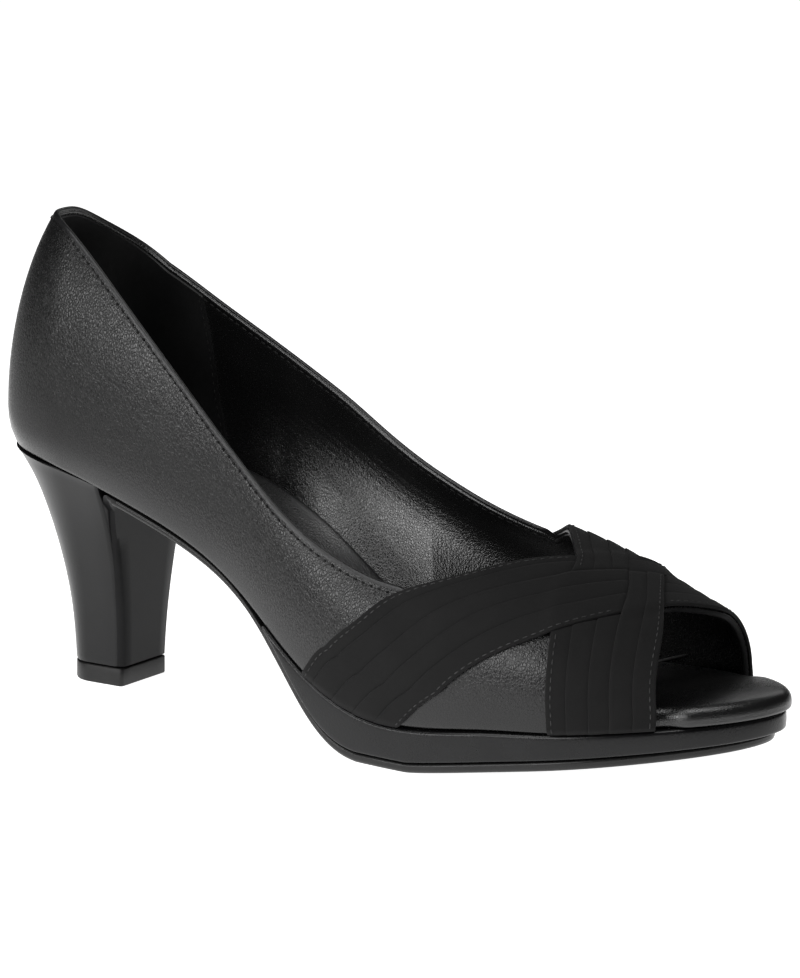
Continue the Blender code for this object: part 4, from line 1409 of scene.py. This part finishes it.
@dataclass
class Sole:
    """Insole with its sock, wrapped platform, outsole and the cover down the heel's breast."""

    finishes: Finishes
    gap: float = 0.0003
    outsole: float = 0.0026
    shank: float = 0.0020
    flap: float = 0.0012
    toplift: float = 0.0050
    insole_heel: float = 0.0030
    insole_toe: float = 0.0058
    turn: float = 0.0045
    heel_axis: float = 0.0026
    sunk: float = 0.0008
    cover_in: float = 0.0004
    cover_top: float = 0.044
    crown: float = 0.0013
    platform_start: float = 0.425

    def insole_top(self, x: np.ndarray, share: np.ndarray) -> np.ndarray:
        """Top of the sock, raised along the inside of the arch."""
        s = x / LAST.length
        thick = np.interp(s, (0.0, 0.60, 0.88, 1.0),
                          (self.insole_heel, self.insole_heel, self.insole_toe, self.insole_toe))
        inside = (s > ARCH["station"][0]) & (s < ARCH["station"][-1]) & (share > 0)
        arch = np.where(inside, ARCH_AT["raise"](s), 0.0) * share ** 2
        return LAST.feather(x) + thick + arch

    def build_insole(self) -> None:
        """Sock-covered insole with a rolled rim at the toe."""
        slab = Slab("insole", 0.0, 0.0027, 0.0006, self.insole_top, lambda x, share: LAST.feather(x),
                    crown=self.crown)
        add_piece(slab.mesh(), "insole_sock", (self.finishes.sock,), ("insole",))

    def build_platform(self) -> None:
        """Slab under the ball, wrapped in leather."""
        slab = Slab("platform", self.platform_start * LAST.length, 0.0011, 0.0006,
                    lambda x, share: LAST.feather(x) - self.gap,
                    lambda x, share: np.minimum(LAST.ground(x) + self.outsole + self.gap,
                                                LAST.feather(x) - self.gap - 0.0002), bulge=0.0001)
        add_piece(slab.mesh(), "platform_slab", (self.finishes.platform,), ("platform",))

    def sole_top(self, x: np.ndarray, share: np.ndarray) -> np.ndarray:
        """Top of the outsole."""
        return np.minimum(LAST.ground(x) + self.outsole, LAST.feather(x) - self.gap)

    def sole_bottom(self, x: np.ndarray, share: np.ndarray) -> np.ndarray:
        """Underside of the outsole."""
        thick = np.interp(x / LAST.length, (0.20, 0.40, 0.44), (self.shank, self.shank, self.outsole))
        return self.sole_top(x, share) - thick

    def breast(self, z: float) -> float:
        """Where the outer side of the heel's breast lies at a height."""
        return float(HEEL_AT["breast"](z / LAST.heel_seat)) + self.gap

    def cover_edges(self, z: float) -> tuple[float, float]:
        """Both edges of the breast cover at a height."""
        width = float(HEEL_AT["half_width"](z / LAST.heel_seat)) - self.cover_in
        return self.heel_axis - width, self.heel_axis + width

    def sole_edges(self, x: float) -> tuple[float, float]:
        """Both edges of the outsole at a place along the length."""
        return float(LAST.outline(x, -1, "outsole")), float(LAST.outline(x, 1, "outsole"))

    def corner(self) -> float:
        """Where the outsole turns down the breast."""
        return self.breast(0.05) + self.flap + self.turn

    def build_outsole(self) -> None:
        """Plate from the shank to the toe."""
        slab = Slab("outsole", self.corner() + 0.0012, 0.0008, 0.0011, self.sole_top, self.sole_bottom)
        add_piece(slab.mesh(), "outsole_plate", (self.finishes.rubber,), ("outsole",))

    def cover_path(self) -> list[tuple[tuple[float, float], tuple[float, float], float, float]]:
        """Sections of the breast cover from its foot to the shank.

        Returns:
            For each section its inner and outer places in side view, and its outside and inside edges.
        """
        path = []
        for z in np.linspace(self.toplift + 0.0006, self.cover_top, 24):
            x = self.breast(z)
            path.append(((x - self.sunk, z), (x + self.flap, z), *self.cover_edges(z)))
        corner = self.corner()
        height = float(LAST.feather(corner + 0.001)) - self.gap - self.shank - self.turn
        narrow, wide = self.cover_edges(self.cover_top + 0.004), self.sole_edges(corner)
        for angle in np.radians(np.linspace(180, 90, 14)):
            share = (math.pi - angle) / (math.pi / 2)
            thick = self.flap + (self.shank - self.flap) * share + self.sunk * (1 - share)
            c, s = math.cos(angle), math.sin(angle)
            left, right = (a * (1 - share) + b * share for a, b in zip(narrow, wide))
            path.append(((corner + (self.turn + thick) * c, height + (self.turn + thick) * s),
                         (corner + self.turn * c, height + self.turn * s), left, right))
        end = corner + 0.0030
        top = float(self.sole_top(np.array(end), np.array(0.0)))
        path.append(((end, top), (end, top - self.shank), *self.sole_edges(end)))
        return path

    def build_breast(self) -> None:
        """Cover down the breast of the heel, turned in under the shank."""
        table = []
        for inner, outer, left, right in self.cover_path():
            a, b = np.array(inner), np.array(outer)
            ring = []
            for share in (0.0, 0.02, 0.06, 0.2, 0.5, 0.8, 0.94, 0.98, 1.0):
                edge = min(share, 1 - share) * (right - left)
                depth = 1.0 if edge > 0.0006 else 0.72 if edge > 0.0002 else 0.35
                spot = a + (b - a) * depth
                ring.append((spot[0], left + (right - left) * share, spot[1]))
            for share in (1.0, 0.75, 0.5, 0.25, 0.0):
                ring.append((a[0], left + (right - left) * share, a[1]))
            ring.append(ring[0])
            table.append(ring)
        work = grid_mesh(np.array(table))
        close_ends(work)
        add_piece(work, "breast_cover", (self.finishes.breast,), ("outsole",))

    def build(self) -> None:
        """All sole pieces."""
        self.build_insole()
        self.build_platform()
        self.build_outsole()
        self.build_breast()


@dataclass
class Heel:
    """Covered heel block and its toplift."""

    finishes: Finishes
    gap: float = 0.0003
    toplift: float = 0.0050
    axis: float = 0.0026
    middle: float = 0.0275
    corner: float = 0.0011
    cheek: float = 0.0050
    rounding: float = 0.0004
    core: float = 0.0080
    seat_core: float = 0.012
    forward: float = 0.0013

    def ring(self, share: float, inset: float) -> np.ndarray:
        """D-shaped ring at a share of the height, drawn in by an inset; the first point is repeated last."""
        half_width = float(HEEL_AT["half_width"](share)) - inset
        back = float(HEEL_AT["back"](share)) - inset
        front = float(HEEL_AT["breast"](share)) - inset
        half = [(front, y * half_width) for y in (0.0, 0.3, 0.6)]
        for a in np.radians((0, 22, 45, 68, 90)):
            half.append((front - self.corner * (1 - math.cos(a)),
                         half_width - self.corner * (1 - math.sin(a))))
        half += [(front - self.cheek, half_width), (self.middle, half_width)]
        half += [(self.middle - back * math.sin(a), half_width * math.cos(a))
                 for a in np.radians(range(6, 91, 6))]
        ring = half + [(x, -y) for x, y in half[-2::-1]]
        return np.array([(x, self.axis - y) for x, y in ring])

    def block_level(self, share: float, x: np.ndarray) -> np.ndarray:
        """Height of the block at a share between the toplift and the seat."""
        low = self.toplift + self.gap
        return low + (LAST.feather(x) - self.gap - low) * share

    def edge(self, core: float) -> list[tuple[float, float]]:
        """Insets and depths of the rows over a rounded edge, from the middle of the face outwards."""
        near = self.rounding * 0.3
        return [(core, 0.0), (self.rounding, 0.0), (near, near), (0.0, self.rounding)]

    @staticmethod
    def capped(table: list[np.ndarray]) -> bmesh.types.BMesh:
        """A mesh of rings, each end drawn together in its middle."""
        ends = [np.repeat(ring.mean(axis=0)[None], len(ring), axis=0) for ring in (table[0], table[-1])]
        return grid_mesh(np.array([ends[0]] + table + [ends[1]]))

    def build_block(self) -> None:
        """The flared block with its cover."""
        rows = [(0.0, inset, shift) for inset, shift in self.edge(self.core)]
        rows += [(share, 0.0, 0.0) for share in np.linspace(0, 1, 40)[1:-1]]
        rows += [(1.0, inset, -shift) for inset, shift in self.edge(self.seat_core)[::-1]]
        table = []
        for share, inset, shift in rows:
            plan = self.ring(share, inset)
            table.append(np.column_stack([plan, self.block_level(share, plan[:, 0]) + shift]))
        add_piece(self.capped(table), "heel_block", (self.finishes.heel,), ("heel",))

    def build_toplift(self) -> None:
        """Wear plate, flat on the floor, brought forward so that it is flush with the breast cover."""
        rows = self.edge(self.core)
        rows += [(inset, self.toplift - shift) for inset, shift in rows[::-1]]
        table = []
        for inset, z in rows:
            plan = self.ring(0.0, inset)
            plan[:, 0] += self.forward * (plan[:, 0] > self.middle)
            table.append(np.column_stack([plan, np.full(len(plan), z)]))
        add_piece(self.capped(table), "toplift_plate", (self.finishes.toplift,), ("toplift",))

    def build(self) -> None:
        """Block and toplift."""
        self.build_block()
        self.build_toplift()


@dataclass(frozen=True)
class Softbox:
    """One rectangular area light: where it hangs, what it points at, its width and height, and its watts."""

    name: str
    place: tuple[float, float, float]
    aim: tuple[float, float, float]
    size: tuple[float, float]
    power: float

    def hang(self) -> None:
        """Makes the light."""
        data = bpy.data.lights.new(self.name, "AREA")
        data.shape, data.energy = "RECTANGLE", self.power
        data.size, data.size_y = self.size
        light = bpy.data.objects.new(self.name, data)
        light.location = self.place
        way = Vector(self.aim) - Vector(self.place)
        light.rotation_euler = way.to_track_quat("-Z", "Y").to_euler()
        bpy.context.scene.collection.objects.link(light)


@dataclass
class Studio:
    """Pale floor, soft lights and the camera at the photograph's angle."""

    azimuth: float = 33.0
    elevation: float = 12.5
    roll: float = 0.7
    distance: float = 1.3422
    lens: float = 189.5
    sensor: float = 36.0
    target: tuple[float, float, float] = (-0.00556, 0.00075, 0.05162)
    shift: tuple[float, float] = (0.0341, 0.0418)
    room: float = 0.03
    boxes: tuple[Softbox, ...] = (
        Softbox("low side", (-0.67, -1.08, 0.32), (0.0, 0.0, 0.05), (0.50, 0.30), 4.6),
        Softbox("near side", (0.00, -0.44, 0.21), (0.045, -0.03, 0.03), (0.20, 0.20), 0.85),
        Softbox("high side", (-0.33, -0.48, 0.74), (0.0, 0.0, 0.05), (0.36, 0.36), 2.3),
        Softbox("top", (0.22, -0.20, 1.02), (0.10, -0.02, 0.02), (0.60, 0.45), 4.4),
        Softbox("behind", (-0.18, 1.02, 0.65), (0.0, 0.0, 0.05), (0.60, 0.40), 0.9),
    )
    floor_half: float = 6.0
    sheet: float = 0.17
    sheet_spread: float = 0.10
    floor_glow: float = 0.26

    def build_camera(self) -> None:
        """The camera."""
        a, e, roll = (math.radians(v) for v in (self.azimuth, self.elevation, self.roll))
        back = Vector((math.sin(a) * math.cos(e), -math.cos(a) * math.cos(e), math.sin(e)))
        right = Vector((math.cos(a), math.sin(a), 0.0))
        up = back.cross(right)
        across = math.cos(roll) * right + math.sin(roll) * up
        upright = -math.sin(roll) * right + math.cos(roll) * up
        data = bpy.data.cameras.new("camera")
        data.lens, data.sensor_width, data.sensor_fit = self.lens, self.sensor, "AUTO"
        data.shift_x, data.shift_y = self.shift
        data.clip_start, data.clip_end = 0.05, 50.0
        camera = bpy.data.objects.new("camera", data)
        matrix = Matrix((across, upright, back)).transposed().to_4x4()
        matrix.translation = Vector(self.target) + back * self.distance
        camera.matrix_world = matrix
        bpy.context.scene.collection.objects.link(camera)
        bpy.context.scene.camera = camera

    def build_lights(self) -> None:
        """Soft light: a dim room, three boxes on the outside of the foot, one overhead and one behind."""
        world = bpy.data.worlds.new("pale room")
        world.use_nodes = True
        background = world.node_tree.nodes["Background"]
        background.inputs["Color"].default_value = (1.0, 1.0, 1.0, 1.0)
        background.inputs["Strength"].default_value = self.room
        bpy.context.scene.world = world
        for box in self.boxes:
            box.hang()

    def build_floor(self) -> None:
        """Plain pale floor with a sheet lit from within, like a light table, under and behind the shoe."""
        work = bmesh.new()
        bmesh.ops.create_grid(work, x_segments=1, y_segments=1, size=self.floor_half)
        mesh = bpy.data.meshes.new("floor")
        work.to_mesh(mesh)
        work.free()
        recipe = Recipe("pale floor")
        tone = recipe.noise(0.5, 2.0)
        turn = (0.0, 0.0, -math.radians(self.azimuth))
        turned = recipe.node("ShaderNodeMapping", None, {"Vector": recipe.place(), "Rotation": turn})
        parts = recipe.node("ShaderNodeSeparateXYZ", None, {0: turned.outputs[0]})
        beside, ahead = Value(recipe, parts.outputs[0]), Value(recipe, parts.outputs[1])
        sheet = beside * beside / ((ahead.greatest(0.0) * self.sheet_spread + self.sheet).power(2.0))
        lit = (1.0 - sheet.between(1.0, 1.7)) * ahead.between(-0.42, -0.26)
        mesh.materials.append(recipe.finish({
            "Base Color": recipe.blend(tone, (0.80, 0.80, 0.80), (0.82, 0.82, 0.82)),
            "Roughness": 0.9,
            "Specular IOR Level": 0.1,
            "Emission Color": recipe.blend(lit, (self.floor_glow,) * 3, (1.0, 1.0, 1.0)),
            "Emission Strength": 1.0,
        }))
        floor = bpy.data.objects.new("floor", mesh)
        bpy.context.scene.collection.objects.link(floor)

    def build(self) -> None:
        """Camera, lights and floor."""
        self.build_camera()
        self.build_lights()
        self.build_floor()
        bpy.context.scene.view_settings.view_transform = "Standard"


def main() -> None:
    """Loads the frame and dresses the shoe."""
    logging.basicConfig(level=logging.INFO, format="%(name)s: %(message)s")
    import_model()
    Studio().build()
    finishes = Finishes()
    Upper(finishes).build()
    Straps(finishes).build()
    Sole(finishes).build()
    Heel(finishes).build()


if __name__ == "__main__":
    main()
